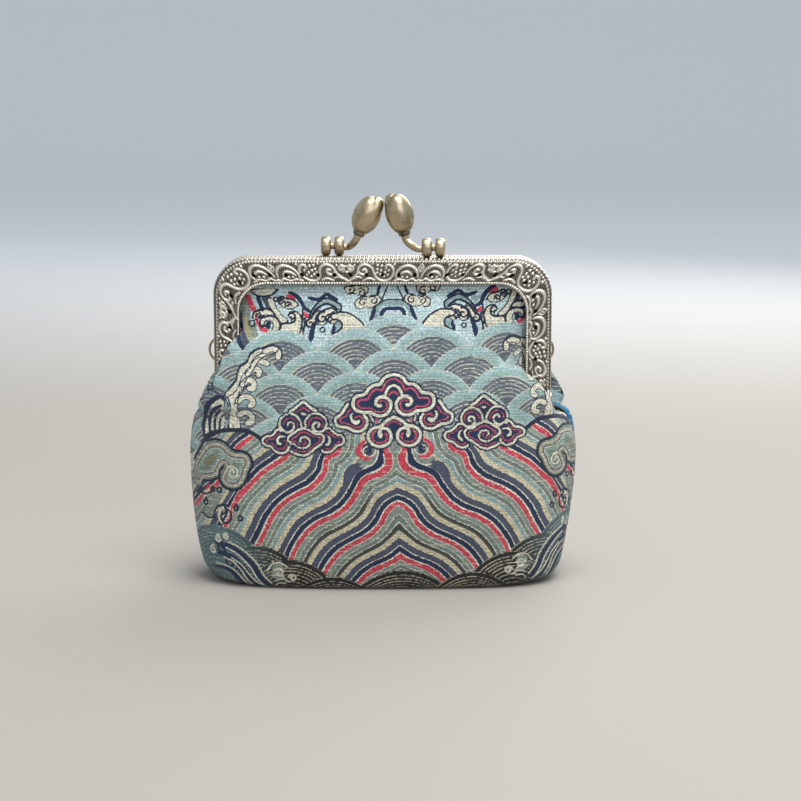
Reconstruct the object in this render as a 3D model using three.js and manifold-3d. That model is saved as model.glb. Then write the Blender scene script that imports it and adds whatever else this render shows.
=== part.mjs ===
// A small brocade coin purse that stands by itself, with an embossed snap frame.
// Millimetres, +Z up. X runs along the frame, -Y is the front, and the origin is
// the middle of the flat base, on the surface that the purse stands on.

import * as THREE from "three";
import { mergeVertices } from "three/addons/utils/BufferGeometryUtils.js";
import Module from "manifold-3d";

const wasm = await Module();
wasm.setup();

// Driving sizes of the snap frame
const frameWidth = 85;
const frameTop = 82;
const frameDepth = 5.2; // one channel, front to back
const closingGap = 0.6; // between the two channels when the frame is shut
const channelWidth = 6.4;
const frameWall = 0.7;
const outerRadius = 9;
const innerRadius = 7;
const edgeRound = 0.9;
const armEndOuter = 48.6; // height of an arm's lower end at its outer edge
const armEndSlant = 2.6; // the inner edge ends this much higher
const pieceGap = 0.3; // clearance between pieces that touch on the real purse

// Sewing holes and cast relief on the faces
const sewingHoleRadius = 0.5;
const sewingHolePitch = 4.05;
const sewingHoleInset = 2.5; // from the inner edge
const reliefHeight = 0.35;
const reliefRibbon = 0.62;
const reliefSpacing = 9.2; // from one figure of the border to the next
const scrollRadius = 1.7;
const berryRadius = 0.5;

// Hinge ears, rivets and side loops
const earRadius = 2.3;
const earDrop = 2.9; // rivet axis below the end of an arm
const rivetRadius = 0.8;
const rivetHeadRadius = 1.7;
const rivetHeadHeight = 0.8;
const loopHeight = 58.2;
const loopRadius = 3.3; // to the middle of the wire
const loopWire = 0.3;
const loopReach = { left: 2.3, right: 1.5 }; // beyond the frame's side
const loopPlane = 2.3; // behind the closing plane

// Clasp: two beads, a bent arm and a bud on each half of the frame
const beadRadius = 2.45;
const beadThickness = 2.5;
const beadSpacing = 3.4;
const beadInner = 11.1; // middle of the inner bead from the middle of the frame
const beadNeckRadius = 0.75;
const studRadius = 0.7; // the stud under each bead, through the frame
const studHeadRadius = 1.3;
const armRadiusAtBead = 0.85;
const armRadiusAtBud = 1.0;
const budLength = 10;
const budRadius = 3.55;
const budDepth = 0.9; // middle of a bud from the closing plane
const collarRadius = 1.6;
const collarHeight = 0.8;
const leftBudOffset = 3.85; // middle of the bud from the middle of the frame
const leftBudHeight = 10.8; // middle of the bud above the frame
const rightBudOffset = 4.15;
const rightBudHeight = 11.3;
const buds = {
  left: { across: leftBudOffset, above: leftBudHeight, tilt: 25 },
  right: { across: rightBudOffset, above: rightBudHeight, tilt: 15 },
};

// Driving sizes of the fabric body
const bodyWidth = 99;
const bodyDepth = 40;
const fabricWall = 1.2;
const seamGap = 0.3; // between the two panels along the seam
const tongue = 1.4; // fabric pushed into the channel
const throatHeight = frameTop - channelWidth; // lower edge of the top bar
const halfFrame = frameWidth / 2;
const lipX = halfFrame - channelWidth; // inner edge of an arm
const backOfChannel = closingGap / 2;
const frontOfChannel = backOfChannel + frameDepth;
const fabricFace = backOfChannel + frameDepth / 2 + fabricWall / 2;
const hingeHeight = armEndOuter - earDrop;

// Cross-sections of the body from the table up. Height is a share of throatHeight.
// The three reaches say how far the front panel bulges to the left and the right and
// the back panel to both: 0 is the inner edge of the frame's arm and 1 is bodyWidth / 2.
// Bulge is the depth in the middle and brow the depth at the widest point, as shares
// of bodyDepth / 2. Framed says how far the section's edge has moved over to the frame,
// parted how far it has moved forward past the hinge, and square how boxy it is.
const columns = [
  "height", "frontLeft", "frontRight", "back", "bulge", "brow", "framed", "parted", "square",
];
const sections = [
  [0.0, 0.26, 0.26, 0.26, 0.84, 0, 0, 0, 1.0],
  [0.012, 0.53, 0.51, 0.51, 0.905, 0, 0, 0, 0.98],
  [0.045, 0.72, 0.69, 0.69, 0.952, 0, 0, 0, 0.93],
  [0.11, 0.84, 0.79, 0.8, 0.984, 0, 0, 0, 0.8],
  [0.21, 0.93, 0.89, 0.9, 1.0, 0, 0, 0, 0.62],
  [0.34, 0.99, 0.98, 0.98, 0.98, 0.1, 0, 0, 0.42],
  [0.46, 1, 1, 1, 0.93, 0.14, 0, 0, 0.3],
  [0.515, 0.96, 0.93, 0.96, 0.892, 0.2, 0, 0, 0.26],
  [0.556, 0.9, 0.79, 0.9, 0.856, 0.3, 0, 0, 0.24],
  [0.571, 0.88, 0.72, 0.9, 0.843, 0.33, 0.1, 0.95, 0.24],
  [0.6, 0.86, 0.59, 0.88, 0.81, 0.34, 0.6, 1.25, 0.2],
  [0.64, 0.7, 0.42, 0.74, 0.755, 0.36, 0.9, 1.05, 0.2],
  [0.68, 0.55, 0.22, 0.59, 0.695, 0.37, 1, 1, 0.2],
  [0.74, 0.36, 0.03, 0.35, 0.6, 0.37, 1, 1, 0.2],
  [0.8, 0.21, 0, 0.1, 0.515, 0.35, 1, 1, 0.2],
  [0.86, 0.05, 0, 0, 0.42, 0.3, 1, 1, 0.2],
  [0.92, 0, 0, 0, 0.325, 0.22, 1, 1, 0.2],
  [0.97, 0, 0, 0, 0.24, 0.18, 1, 1, 0.2],
  [1.0, 0, 0, 0, 0.2, 0.18, 1, 1, 0.2],
].map((row) => Object.fromEntries(columns.map((name, i) => [name, row[i]])));
const baseRings = [0.5, 0]; // the base drawn in towards its middle seam
const sectionAngles = [0, 5, 11, 19, 31, 54, 90]; // degrees round a free section
const frontShares = [0.985, 0.92, 0.76, 0.45, 0]; // of the lip, across a framed section
const stepsPerSpan = 2;

// Materials
const silver = new THREE.MeshStandardMaterial({ color: 0xa39c8e, roughness: 0.42, metalness: 1 });
const brass = new THREE.MeshStandardMaterial({ color: 0x8d7c58, roughness: 0.35, metalness: 1 });
const brocade = new THREE.MeshStandardMaterial({ color: 0x7fa3a6, roughness: 0.85, metalness: 0 });

const degrees = Math.PI / 180;
const mix = (a, b, share) => a + (b - a) * share;
const smooth = (x) => {
  const t = Math.min(1, Math.max(0, x));
  return t * t * (3 - 2 * t);
};

// A closed geometry as a solid, and back again.
function toSolid(geometry) {
  const bare = geometry.index ? geometry.toNonIndexed() : geometry.clone();
  bare.deleteAttribute("normal");
  bare.deleteAttribute("uv");
  const merged = mergeVertices(bare, 1e-4);
  const corners = merged.index.array;
  const kept = [];
  for (let i = 0; i < corners.length; i += 3) {
    const [a, b, c] = [corners[i], corners[i + 1], corners[i + 2]];
    if (a !== b && b !== c && c !== a) kept.push(a, b, c);
  }
  return new wasm.Manifold(
    new wasm.Mesh({
      numProp: 3,
      vertProperties: merged.attributes.position.array,
      triVerts: new Uint32Array(kept),
    }),
  );
}

function toGeometry(solid) {
  const mesh = solid.getMesh();
  const geometry = new THREE.BufferGeometry();
  geometry.setAttribute("position", new THREE.BufferAttribute(new Float32Array(mesh.vertProperties), 3));
  geometry.setIndex(new THREE.BufferAttribute(new Uint32Array(mesh.triVerts), 1));
  geometry.computeVertexNormals();
  return geometry;
}

function joined(geometries) {
  return geometries.map(toSolid).reduce((whole, piece) => whole.add(piece));
}

// A flat shape drawn in X and Z, given a depth along -Y that starts at y = from.
function plate(shape, depth, from, curveSegments, bevel = 0) {
  const settings = { depth: depth - 2 * bevel, curveSegments, bevelEnabled: bevel > 0 };
  if (bevel > 0) {
    Object.assign(settings, { bevelThickness: bevel, bevelSize: bevel });
    Object.assign(settings, { bevelOffset: -bevel, bevelSegments: 1 });
  }
  const geometry = new THREE.ExtrudeGeometry(shape, settings);
  geometry.rotateX(Math.PI / 2);
  geometry.translate(0, from - bevel, 0);
  return geometry;
}

// Outline of the frame's band: up one side, over the top, down the other, and back inside.
function bandShape() {
  const shape = new THREE.Shape();
  const innerEnd = armEndOuter + armEndSlant;
  shape.moveTo(halfFrame, armEndOuter);
  shape.lineTo(halfFrame, frameTop - outerRadius);
  shape.absarc(halfFrame - outerRadius, frameTop - outerRadius, outerRadius, 0, Math.PI / 2, false);
  shape.lineTo(-halfFrame + outerRadius, frameTop);
  shape.absarc(-halfFrame + outerRadius, frameTop - outerRadius, outerRadius, Math.PI / 2, Math.PI, false);
  shape.lineTo(-halfFrame, armEndOuter);
  shape.lineTo(-lipX, innerEnd);
  shape.lineTo(-lipX, throatHeight - innerRadius);
  shape.absarc(-lipX + innerRadius, throatHeight - innerRadius, innerRadius, Math.PI, Math.PI / 2, true);
  shape.lineTo(lipX - innerRadius, throatHeight);
  shape.absarc(lipX - innerRadius, throatHeight - innerRadius, innerRadius, Math.PI / 2, 0, true);
  shape.lineTo(lipX, innerEnd);
  shape.closePath();
  return shape;
}

// The hollow of the channel: everything inside its outer web.
function hollowShape() {
  const side = halfFrame - frameWall;
  const radius = outerRadius - frameWall;
  const low = armEndOuter - channelWidth;
  const shape = new THREE.Shape();
  shape.moveTo(side, low);
  shape.lineTo(side, frameTop - outerRadius);
  shape.absarc(side - radius, frameTop - outerRadius, radius, 0, Math.PI / 2, false);
  shape.lineTo(-side + radius, frameTop - frameWall);
  shape.absarc(-side + radius, frameTop - outerRadius, radius, Math.PI / 2, Math.PI, false);
  shape.lineTo(-side, low);
  shape.closePath();
  return shape;
}

// A point on a line that runs inside the band, inset from its inner edge, with its
// direction. Distance is measured from the middle of the top, to the right.
function alongBand(distance, inset) {
  const radius = innerRadius + inset;
  const straight = lipX - innerRadius;
  const corner = (radius * Math.PI) / 2;
  const side = Math.sign(distance) || 1;
  const gone = Math.abs(distance);
  const height = throatHeight + inset;
  if (gone <= straight) return { x: distance, z: height, turn: 0 };
  if (gone <= straight + corner) {
    const angle = (gone - straight) / radius;
    return {
      x: side * (straight + radius * Math.sin(angle)),
      z: height - radius + radius * Math.cos(angle),
      turn: -side * angle,
    };
  }
  const down = gone - straight - corner;
  return { x: side * (lipX + inset), z: height - radius - down, turn: (-side * Math.PI) / 2 };
}

// The sewing holes along the band, as pegs to cut with.
function sewingPegs(faceY) {
  const pegs = [];
  const radius = innerRadius + sewingHoleInset;
  const armLength = throatHeight - innerRadius - armEndOuter - armEndSlant - 2 * sewingHoleInset;
  const reach = lipX - innerRadius + (radius * Math.PI) / 2 + armLength;
  const count = Math.floor(reach / sewingHolePitch);
  for (let i = -count; i <= count; i += 1) {
    const at = alongBand(i * sewingHolePitch, sewingHoleInset);
    const peg = new THREE.CylinderGeometry(sewingHoleRadius, sewingHoleRadius, 4 * frameWall, 4);
    peg.translate(at.x, faceY, at.z);
    pegs.push(peg);
  }
  return pegs;
}

// One raised scroll: a ribbon that winds in from a quarter past its start.
function scrollShape(hand) {
  const steps = 5;
  const outer = [];
  const inner = [];
  for (let i = 0; i <= steps; i += 1) {
    const share = i / steps;
    const angle = (200 - 290 * share) * degrees;
    const r = scrollRadius * (1 - 0.55 * share);
    const half = (reliefRibbon / 2) * (1 - 0.35 * share);
    const direction = new THREE.Vector2(hand * Math.cos(angle), Math.sin(angle));
    outer.push(direction.clone().multiplyScalar(r + half));
    inner.push(direction.clone().multiplyScalar(r - half));
  }
  return new THREE.Shape([...outer, ...inner.reverse()]);
}

// A flat figure with evenly spaced corners: six for a berry, four for a leaf.
function cornerShape(corners, across, along) {
  const points = [];
  for (let i = 0; i < corners; i += 1) {
    const angle = (2 * Math.PI * i) / corners;
    points.push(new THREE.Vector2(across * Math.cos(angle), along * Math.sin(angle)));
  }
  return new THREE.Shape(points);
}

// One figure of the cast border, centred on its place: by turns a cluster of
// berries, a palmette of three leaves, berries again, and a pair of scrolls.
function borderFigure(turn) {
  const depth = reliefHeight + frameWall / 2;
  const pieces = [];
  const put = (shape, x, z, tilt) => {
    const piece = plate(shape, depth, 0, 1);
    piece.rotateY(tilt);
    piece.translate(x, 0, z);
    pieces.push(piece);
  };
  if (turn % 2 === 0) {
    for (const angle of [90, 210, 330]) {
      const [c, s] = [Math.cos(angle * degrees), Math.sin(angle * degrees)];
      put(cornerShape(6, berryRadius, berryRadius), 1.4 * berryRadius * c, 1.4 * berryRadius * s, 0);
    }
  } else if (turn === 1) {
    for (const tilt of [-1, 0, 1]) {
      put(cornerShape(4, berryRadius, 0.85 * scrollRadius), 1.1 * tilt * scrollRadius, 0, tilt * 0.9);
    }
  } else {
    for (const hand of [-1, 1]) put(scrollShape(hand), hand * (scrollRadius + reliefRibbon), 0, 0);
  }
  return pieces;
}

// The cast border along one face of the frame.
function reliefPlates(faceY) {
  const middle = channelWidth / 2 - edgeRound / 4;
  const reach = lipX + throatHeight - armEndOuter - armEndSlant - 3 * scrollRadius;
  const count = Math.floor(reach / reliefSpacing);
  const plates = [];
  for (let i = -count; i <= count; i += 1) {
    const at = alongBand(i * reliefSpacing, middle);
    for (const piece of borderFigure((i + 4 * count) % 4)) {
      piece.rotateY(-at.turn);
      piece.translate(at.x, faceY + frameWall / 2, at.z);
      plates.push(piece);
    }
  }
  return plates;
}

// A hinge ear below the end of each arm. The front frame's pair is the inner one.
function earPlates(layer) {
  const outerFace = layer === "outer" ? halfFrame : halfFrame - frameWall - pieceGap;
  const round = new THREE.Shape();
  const root = backOfChannel + frameWall + earRadius;
  const rootTop = armEndOuter + armEndSlant;
  round.moveTo(-root, rootTop);
  round.lineTo(-root, armEndOuter - 0.4 * earDrop);
  round.lineTo(-0.6 * earRadius, hingeHeight - 0.8 * earRadius);
  round.absarc(0, hingeHeight, earRadius, 1.3 * Math.PI, 2.42 * Math.PI, false);
  round.lineTo(-backOfChannel - frameWall, armEndOuter - 1.5 * pieceGap);
  round.lineTo(-backOfChannel - frameWall, rootTop);
  round.closePath();
  const plates = [];
  for (const side of [-1, 1]) {
    const settings = { depth: frameWall, curveSegments: 6, bevelEnabled: false };
    const ear = new THREE.ExtrudeGeometry(round, settings);
    // Shape x becomes Y, shape y becomes Z, and the depth becomes X.
    ear.applyMatrix4(new THREE.Matrix4().set(0, 0, 1, 0, 1, 0, 0, 0, 0, 1, 0, 0, 0, 0, 0, 1));
    ear.translate(side > 0 ? outerFace - frameWall : -outerFace, 0, 0);
    plates.push(ear);
    if (layer === "inner") {
      const bridge = new THREE.BoxGeometry(frameWall + 2 * pieceGap, earRadius, armEndSlant - pieceGap);
      const bridgeX = side * (outerFace + pieceGap / 2);
      bridge.translate(bridgeX, -root + earRadius / 2, rootTop - armEndSlant / 2 + pieceGap / 2);
      plates.push(bridge);
    }
  }
  return plates;
}

function alongX(radius, length, x, y, z, sides) {
  const bar = new THREE.CylinderGeometry(radius, radius, length, sides);
  bar.rotateZ(Math.PI / 2);
  bar.translate(x, y, z);
  return bar;
}

// Half of the snap frame, drawn as the front half. The back half is turned round.
function frameHalf(role) {
  const arcSteps = 5;
  let solid = toSolid(plate(bandShape(), frameDepth, -backOfChannel, arcSteps, edgeRound));
  solid = solid.add(toSolid(plate(bandShape(), frameDepth / 2, -backOfChannel, arcSteps)));
  const hollowDepth = frameDepth - 2 * frameWall;
  solid = solid.subtract(toSolid(plate(hollowShape(), hollowDepth, -backOfChannel - frameWall, arcSteps)));
  for (const relief of reliefPlates(-frontOfChannel)) solid = solid.add(toSolid(relief));
  for (const peg of sewingPegs(-frontOfChannel)) solid = solid.subtract(toSolid(peg));
  for (const ear of earPlates(role === "front" ? "inner" : "outer")) solid = solid.add(toSolid(ear));
  for (const x of [beadInner, beadInner + beadSpacing]) {
    const holeRadius = studRadius + pieceGap;
    const studHole = new THREE.CylinderGeometry(holeRadius, holeRadius, 4 * frameWall, 8);
    studHole.rotateX(Math.PI / 2);
    studHole.translate(x, -claspY, frameTop);
    solid = solid.subtract(toSolid(studHole));
  }
  for (const side of [-1, 1]) {
    const rivetHole = alongX(rivetRadius + pieceGap, 8 * frameWall, side * halfFrame, 0, hingeHeight, 8);
    solid = solid.subtract(toSolid(rivetHole));
    if (role === "front") continue;
    const loopSide = side > 0 ? "left" : "right";
    const across = Math.acos((halfFrame - frameWall / 2 - loopCentreX(loopSide)) / loopRadius);
    for (const end of [-1, 1]) {
      const z = loopHeight + end * loopRadius * Math.sin(across);
      const hole = alongX(loopWire + 2.4 * pieceGap, 3 * frameWall, side * halfFrame, -loopPlane, z, 8);
      solid = solid.subtract(toSolid(hole));
    }
  }
  const geometry = toGeometry(solid);
  if (role === "back") geometry.rotateZ(Math.PI);
  return geometry;
}

function loopCentreX(word) {
  return halfFrame + loopReach[word] - loopRadius - loopWire;
}

// A wire along a curve, with a round section that may taper.
function wire(points, startRadius, endRadius, steps, sides) {
  const curve = new THREE.CatmullRomCurve3(points);
  const frames = curve.computeFrenetFrames(steps, false);
  const positions = [];
  const triangles = [];
  for (let i = 0; i <= steps; i += 1) {
    const centre = curve.getPointAt(i / steps);
    const radius = mix(startRadius, endRadius, i / steps);
    for (let j = 0; j < sides; j += 1) {
      const angle = (2 * Math.PI * j) / sides;
      const point = centre
        .clone()
        .addScaledVector(frames.normals[i], radius * Math.cos(angle))
        .addScaledVector(frames.binormals[i], radius * Math.sin(angle));
      positions.push(point.x, point.y, point.z);
    }
  }
  for (let i = 0; i < steps; i += 1) {
    for (let j = 0; j < sides; j += 1) {
      const [a, b] = [i * sides + j, i * sides + ((j + 1) % sides)];
      triangles.push(a, b, b + sides, a, b + sides, a + sides);
    }
  }
  const last = steps * sides;
  for (let j = 1; j < sides - 1; j += 1) {
    triangles.push(0, j + 1, j, last, last + j, last + j + 1);
  }
  const geometry = new THREE.BufferGeometry();
  geometry.setAttribute("position", new THREE.Float32BufferAttribute(positions, 3));
  geometry.setIndex(triangles);
  return geometry;
}

// A staple of wire at the side, its two feet through holes in the back frame.
function sideLoop(word, side) {
  const points = [];
  for (let angle = -84; angle <= 84; angle += 14) {
    const across = loopCentreX(word) + loopRadius * Math.cos(angle * degrees);
    const z = loopHeight + loopRadius * Math.sin(angle * degrees);
    points.push(new THREE.Vector3(side * across, loopPlane, z));
  }
  return toGeometry(toSolid(wire(points, loopWire, loopWire, 12, 6)));
}

// A rivet through both ears, with a head at each end.
function hingeRivet(side) {
  const outside = halfFrame + pieceGap;
  const inside = halfFrame - 2 * frameWall - 2 * pieceGap;
  const profile = [
    [0, inside - rivetHeadHeight],
    [0.7 * rivetHeadRadius, inside - rivetHeadHeight],
    [rivetHeadRadius, inside - 0.4 * rivetHeadHeight],
    [rivetHeadRadius, inside],
    [rivetRadius, inside],
    [rivetRadius, outside],
    [rivetHeadRadius, outside],
    [rivetHeadRadius, outside + 0.4 * rivetHeadHeight],
    [0.7 * rivetHeadRadius, outside + rivetHeadHeight],
    [0, outside + rivetHeadHeight],
  ].map(([r, along]) => new THREE.Vector2(r, along));
  const rivet = new THREE.LatheGeometry(profile, 8);
  rivet.rotateZ(-side * (Math.PI / 2));
  rivet.translate(0, 0, hingeHeight);
  return toGeometry(toSolid(rivet));
}

// Where one clasp half stands: left is on the back frame and right on the front one.
const claspY = backOfChannel + frameDepth / 2;
const beadHeight = frameTop + pieceGap + beadRadius;

// A round body drawn from a table of [radius, height].
function turned(table, sides) {
  return new THREE.LatheGeometry(table.map(([r, z]) => new THREE.Vector2(r, z)), sides);
}

// Outline of a bead as [share of the radius, share of half the thickness].
const beadOutline = [[0, -1], [0.72, -1], [0.94, -0.62], [1, 0], [0.94, 0.62], [0.72, 1], [0, 1]];

// The beads with their studs and the bent arm, drawn for the right side.
function claspArm(word) {
  const { across, above, tilt } = buds[word];
  const lean = new THREE.Vector3(Math.sin(tilt * degrees), 0, -Math.cos(tilt * degrees));
  const low = budLength / 2 + collarHeight + pieceGap;
  const top = new THREE.Vector3(across, -budDepth, frameTop + above).addScaledVector(lean, low);
  const level = new THREE.Vector3(beadInner - 0.9 * beadThickness, -claspY, beadHeight - 0.3);
  const bend = top.clone().addScaledVector(lean, 1.7).lerp(level, 0.35);
  const points = [
    new THREE.Vector3(beadInner - beadThickness / 4, -claspY, beadHeight - 0.3),
    level,
    bend,
    top.clone().addScaledVector(lean, 0.9),
    top,
  ];
  const pieces = [wire(points, armRadiusAtBead, armRadiusAtBud, 8, 7)];
  pieces.push(alongX(beadNeckRadius, beadSpacing, beadInner + beadSpacing / 2, -claspY, beadHeight, 8));
  for (const x of [beadInner, beadInner + beadSpacing]) {
    const bead = turned(beadOutline.map(([r, z]) => [r * beadRadius, (z * beadThickness) / 2]), 12);
    bead.rotateZ(Math.PI / 2);
    bead.translate(x, -claspY, beadHeight);
    const under = frameTop - frameWall - pieceGap;
    const foot = under - 0.6;
    const head = [[0, foot], [studHeadRadius, foot], [studHeadRadius, under]];
    const shank = [[studRadius, under], [studRadius, beadHeight - 1], [0, beadHeight - 1]];
    const stud = turned([...head, ...shank], 6);
    stud.rotateX(Math.PI / 2);
    stud.translate(x, -claspY, 0);
    pieces.push(bead, stud);
  }
  const geometry = toGeometry(joined(pieces));
  if (word === "left") geometry.rotateZ(Math.PI);
  return geometry;
}

// Outline of a bud as [share of the radius, share of the length].
const budOutline = [
  [0, 0],
  [0.42, 0.015],
  [0.72, 0.12],
  [0.94, 0.3],
  [1, 0.5],
  [0.9, 0.71],
  [0.6, 0.91],
  [0, 1],
];

// A bud with a second petal behind it, on a small collar, drawn for the right side.
function claspBud(word) {
  const { across, above, tilt } = buds[word];
  const sized = (radius, length, low) => budOutline.map(([r, z]) => [r * radius, low + z * length]);
  const body = turned(sized(budRadius, budLength, 0), 12);
  const petal = turned(sized(0.84 * budRadius, 0.8 * budLength, 0.24 * budLength), 8);
  petal.scale(0.75, 1, 0.85);
  petal.translate(-0.28 * budRadius, 0, -0.16 * budRadius);
  const collar = new THREE.CylinderGeometry(collarRadius, 0.85 * collarRadius, 2 * collarHeight, 8);
  const geometry = toGeometry(joined([body, petal, collar]));
  geometry.rotateX(Math.PI / 2);
  geometry.translate(0, 0, -budLength / 2);
  geometry.rotateY(-tilt * degrees);
  geometry.translate(across, -budDepth, frameTop + above);
  if (word === "left") geometry.rotateZ(Math.PI);
  return geometry;
}

// Inner edge of the channel at a height, or of a line outside it by an offset.
function lipAt(z, offset) {
  const radius = innerRadius + offset;
  const up = z - (throatHeight - innerRadius);
  if (up <= 0) return lipX + offset;
  return lipX - innerRadius + Math.sqrt(Math.max(0, radius * radius - up * up));
}

// Points along half of a free section, from the seam to the middle: a squared ellipse.
function freeHalf(reach, bulge, square) {
  const across = 2 / mix(2.2, 3.6, square);
  const deep = 2 / mix(2.0, 2.9, square);
  return sectionAngles.map((angle) => {
    const [c, s] = [Math.cos(angle * degrees), Math.sin(angle * degrees)];
    return [reach * Math.max(0, c) ** across, seamGap / 2 + (bulge - seamGap / 2) * Math.max(0, s) ** deep];
  });
}

// Points along half of a framed section: out of the channel, round its lip and over
// the arm as far as the reach, then across to the middle.
function framedHalf(z, reach, bulge, brow) {
  const lip = lipAt(z, 0) - pieceGap;
  const over = reach - lip - pieceGap;
  const spill = smooth(over / 1.6);
  const edge = [lipAt(Math.min(z, throatHeight + tongue), tongue), fabricFace];
  const mouth = [lip - pieceGap / 2, fabricFace + pieceGap / 3];
  const flat = frontShares.map((share) => {
    const x = share * lip;
    return [x, fabricFace + (bulge - fabricFace) * (1 - share ** 3) ** 0.7];
  });
  const clear = frontOfChannel + reliefHeight + pieceGap;
  const round = [
    [lip - pieceGap, clear - 0.5 * pieceGap],
    [reach, Math.max(brow, clear + 2 * pieceGap)],
    [0.97 * reach - 0.06 * over, mix(brow, bulge, 0.34)],
    [0.7 * reach, mix(brow, bulge, 0.74)],
    [0, bulge],
  ];
  const face = flat.map((point, i) => point.map((value, k) => mix(value, round[i][k], spill)));
  return [edge, mouth, ...face];
}

// Half of one row of the table, seam or edge first, as points of x and depth.
function halfSection(row, reachName) {
  const z = row.height * throatHeight;
  const reach = mix(lipAt(z, 0), bodyWidth / 2, row[reachName]);
  const bulge = Math.max((row.bulge * bodyDepth) / 2, fabricFace + 0.02);
  const free = freeHalf(reach, bulge, row.square);
  if (row.framed === 0) return free;
  const framed = framedHalf(z, reach, bulge, (row.brow * bodyDepth) / 2);
  const points = free.map((point, i) => point.map((value, k) => mix(value, framed[i][k], row.framed)));
  if (row.framed === 1) return points;
  const edgeDepth = mix(seamGap / 2, fabricFace, row.parted);
  for (const [i, point] of points.entries()) point[1] = Math.max(point[1], edgeDepth + 1.2 * pieceGap * i);
  return points;
}

// A smooth curve through the points, with the same number of steps in each span.
function drawn(points) {
  const curve = new THREE.CatmullRomCurve3(
    points.map(([x, depth]) => new THREE.Vector3(x, depth, 0)),
    false,
    "centripetal",
  );
  return curve.getPoints((points.length - 1) * stepsPerSpan).map((p) => [p.x, p.y]);
}

// The outer face of a panel as rows of points, from the middle of the base to the
// edge inside the channel. Each row runs from the left seam to the right one.
function panelRows(leftName, rightName) {
  const rowOf = (row) => {
    const left = halfSection(row, leftName).map(([x, depth]) => [-x, depth]);
    const right = halfSection(row, rightName).reverse();
    return drawn([...left, ...right.slice(1)]);
  };
  const rows = [];
  const foot = rowOf(sections[0]);
  for (const ring of [...baseRings].reverse()) {
    const spread = mix(0.5, 1, ring);
    rows.push(foot.map(([x, depth]) => [x * spread, mix(seamGap / 2, depth, ring), 0]));
  }
  for (const row of sections) {
    const z = row.height * throatHeight;
    rows.push(rowOf(row).map(([x, depth]) => [x, depth, z]));
  }
  for (const up of [0.55, 1]) {
    const z = throatHeight + up * tongue;
    const edge = lipAt(z, tongue);
    const last = foot.length - 1;
    rows.push(foot.map((_, i) => [-edge * Math.cos((Math.PI * i) / last), fabricFace, z]));
  }
  return rows;
}

// A panel as a closed wall: its outer face, the same face moved inwards, and a rim.
function panel(rows, facing) {
  const [height, width] = [rows.length, rows[0].length];
  const outer = rows.map((row) => row.map(([x, depth, z]) => new THREE.Vector3(x, -depth, z)));
  const pick = (i, j) => outer[Math.min(height - 1, Math.max(0, i))][Math.min(width - 1, Math.max(0, j))];
  const inner = outer.map((row, i) =>
    row.map((point, j) => {
      const across = pick(i, j + 1).clone().sub(pick(i, j - 1));
      const up = pick(i + 1, j).clone().sub(pick(i - 1, j));
      const inwards = up.cross(across).normalize();
      const moved = point.clone().addScaledVector(inwards, fabricWall);
      moved.y = Math.min(moved.y, -seamGap / 2);
      if (point.z === 0) moved.z = fabricWall;
      return moved;
    }),
  );
  const positions = [...outer.flat(), ...inner.flat()].flatMap((p) => [p.x, facing * p.y, p.z]);
  const triangles = [];
  const layer = height * width;
  const quad = (a, b, c, d) => triangles.push(a, b, c, a, c, d);
  for (let i = 0; i < height - 1; i += 1) {
    for (let j = 0; j < width - 1; j += 1) {
      const a = i * width + j;
      quad(a, a + 1, a + width + 1, a + width);
      quad(layer + a, layer + a + width, layer + a + width + 1, layer + a + 1);
    }
    const [left, right] = [i * width, i * width + width - 1];
    quad(left, left + width, layer + left + width, layer + left);
    quad(right, layer + right, layer + right + width, right + width);
  }
  for (let j = 0; j < width - 1; j += 1) {
    const top = (height - 1) * width + j;
    quad(j, layer + j, layer + j + 1, j + 1);
    quad(top, top + 1, layer + top + 1, layer + top);
  }
  if (facing < 0) {
    for (let i = 0; i < triangles.length; i += 3) {
      [triangles[i + 1], triangles[i + 2]] = [triangles[i + 2], triangles[i + 1]];
    }
  }
  const geometry = new THREE.BufferGeometry();
  geometry.setAttribute("position", new THREE.Float32BufferAttribute(positions, 3));
  geometry.setIndex(triangles);
  return toGeometry(toSolid(geometry));
}

// The purse
const purse = new THREE.Group();

function addPiece(name, geometry, material) {
  const mesh = new THREE.Mesh(geometry, material);
  mesh.name = name;
  purse.add(mesh);
}

addPiece("front_panel", panel(panelRows("frontLeft", "frontRight"), 1), brocade);
addPiece("back_panel", panel(panelRows("back", "back"), -1), brocade);
addPiece("front_frame", frameHalf("front"), silver);
addPiece("back_frame", frameHalf("back"), silver);
for (const [word, side] of [["left", -1], ["right", 1]]) {
  addPiece(`${word}_hinge_rivet`, hingeRivet(side), silver);
  addPiece(`${word}_side_loop`, sideLoop(word, side), brass);
  addPiece(`${word}_clasp_arm`, claspArm(word), brass);
  addPiece(`${word}_clasp_bud`, claspBud(word), brass);
}

export default purse;
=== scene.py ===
import bpy
import math
import numpy as np
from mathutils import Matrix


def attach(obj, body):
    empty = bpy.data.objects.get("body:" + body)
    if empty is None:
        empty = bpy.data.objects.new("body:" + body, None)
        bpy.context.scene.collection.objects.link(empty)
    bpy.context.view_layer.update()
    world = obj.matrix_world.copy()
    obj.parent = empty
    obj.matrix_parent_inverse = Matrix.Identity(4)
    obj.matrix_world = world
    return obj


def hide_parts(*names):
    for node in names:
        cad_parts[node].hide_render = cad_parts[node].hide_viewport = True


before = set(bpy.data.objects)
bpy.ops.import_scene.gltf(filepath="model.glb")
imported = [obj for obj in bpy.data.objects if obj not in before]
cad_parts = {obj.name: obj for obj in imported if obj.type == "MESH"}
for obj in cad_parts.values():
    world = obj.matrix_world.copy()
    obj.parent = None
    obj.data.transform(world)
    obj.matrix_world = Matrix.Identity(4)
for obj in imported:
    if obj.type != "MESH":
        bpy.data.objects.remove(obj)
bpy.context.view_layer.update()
print("purse: packed frame loaded")

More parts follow.
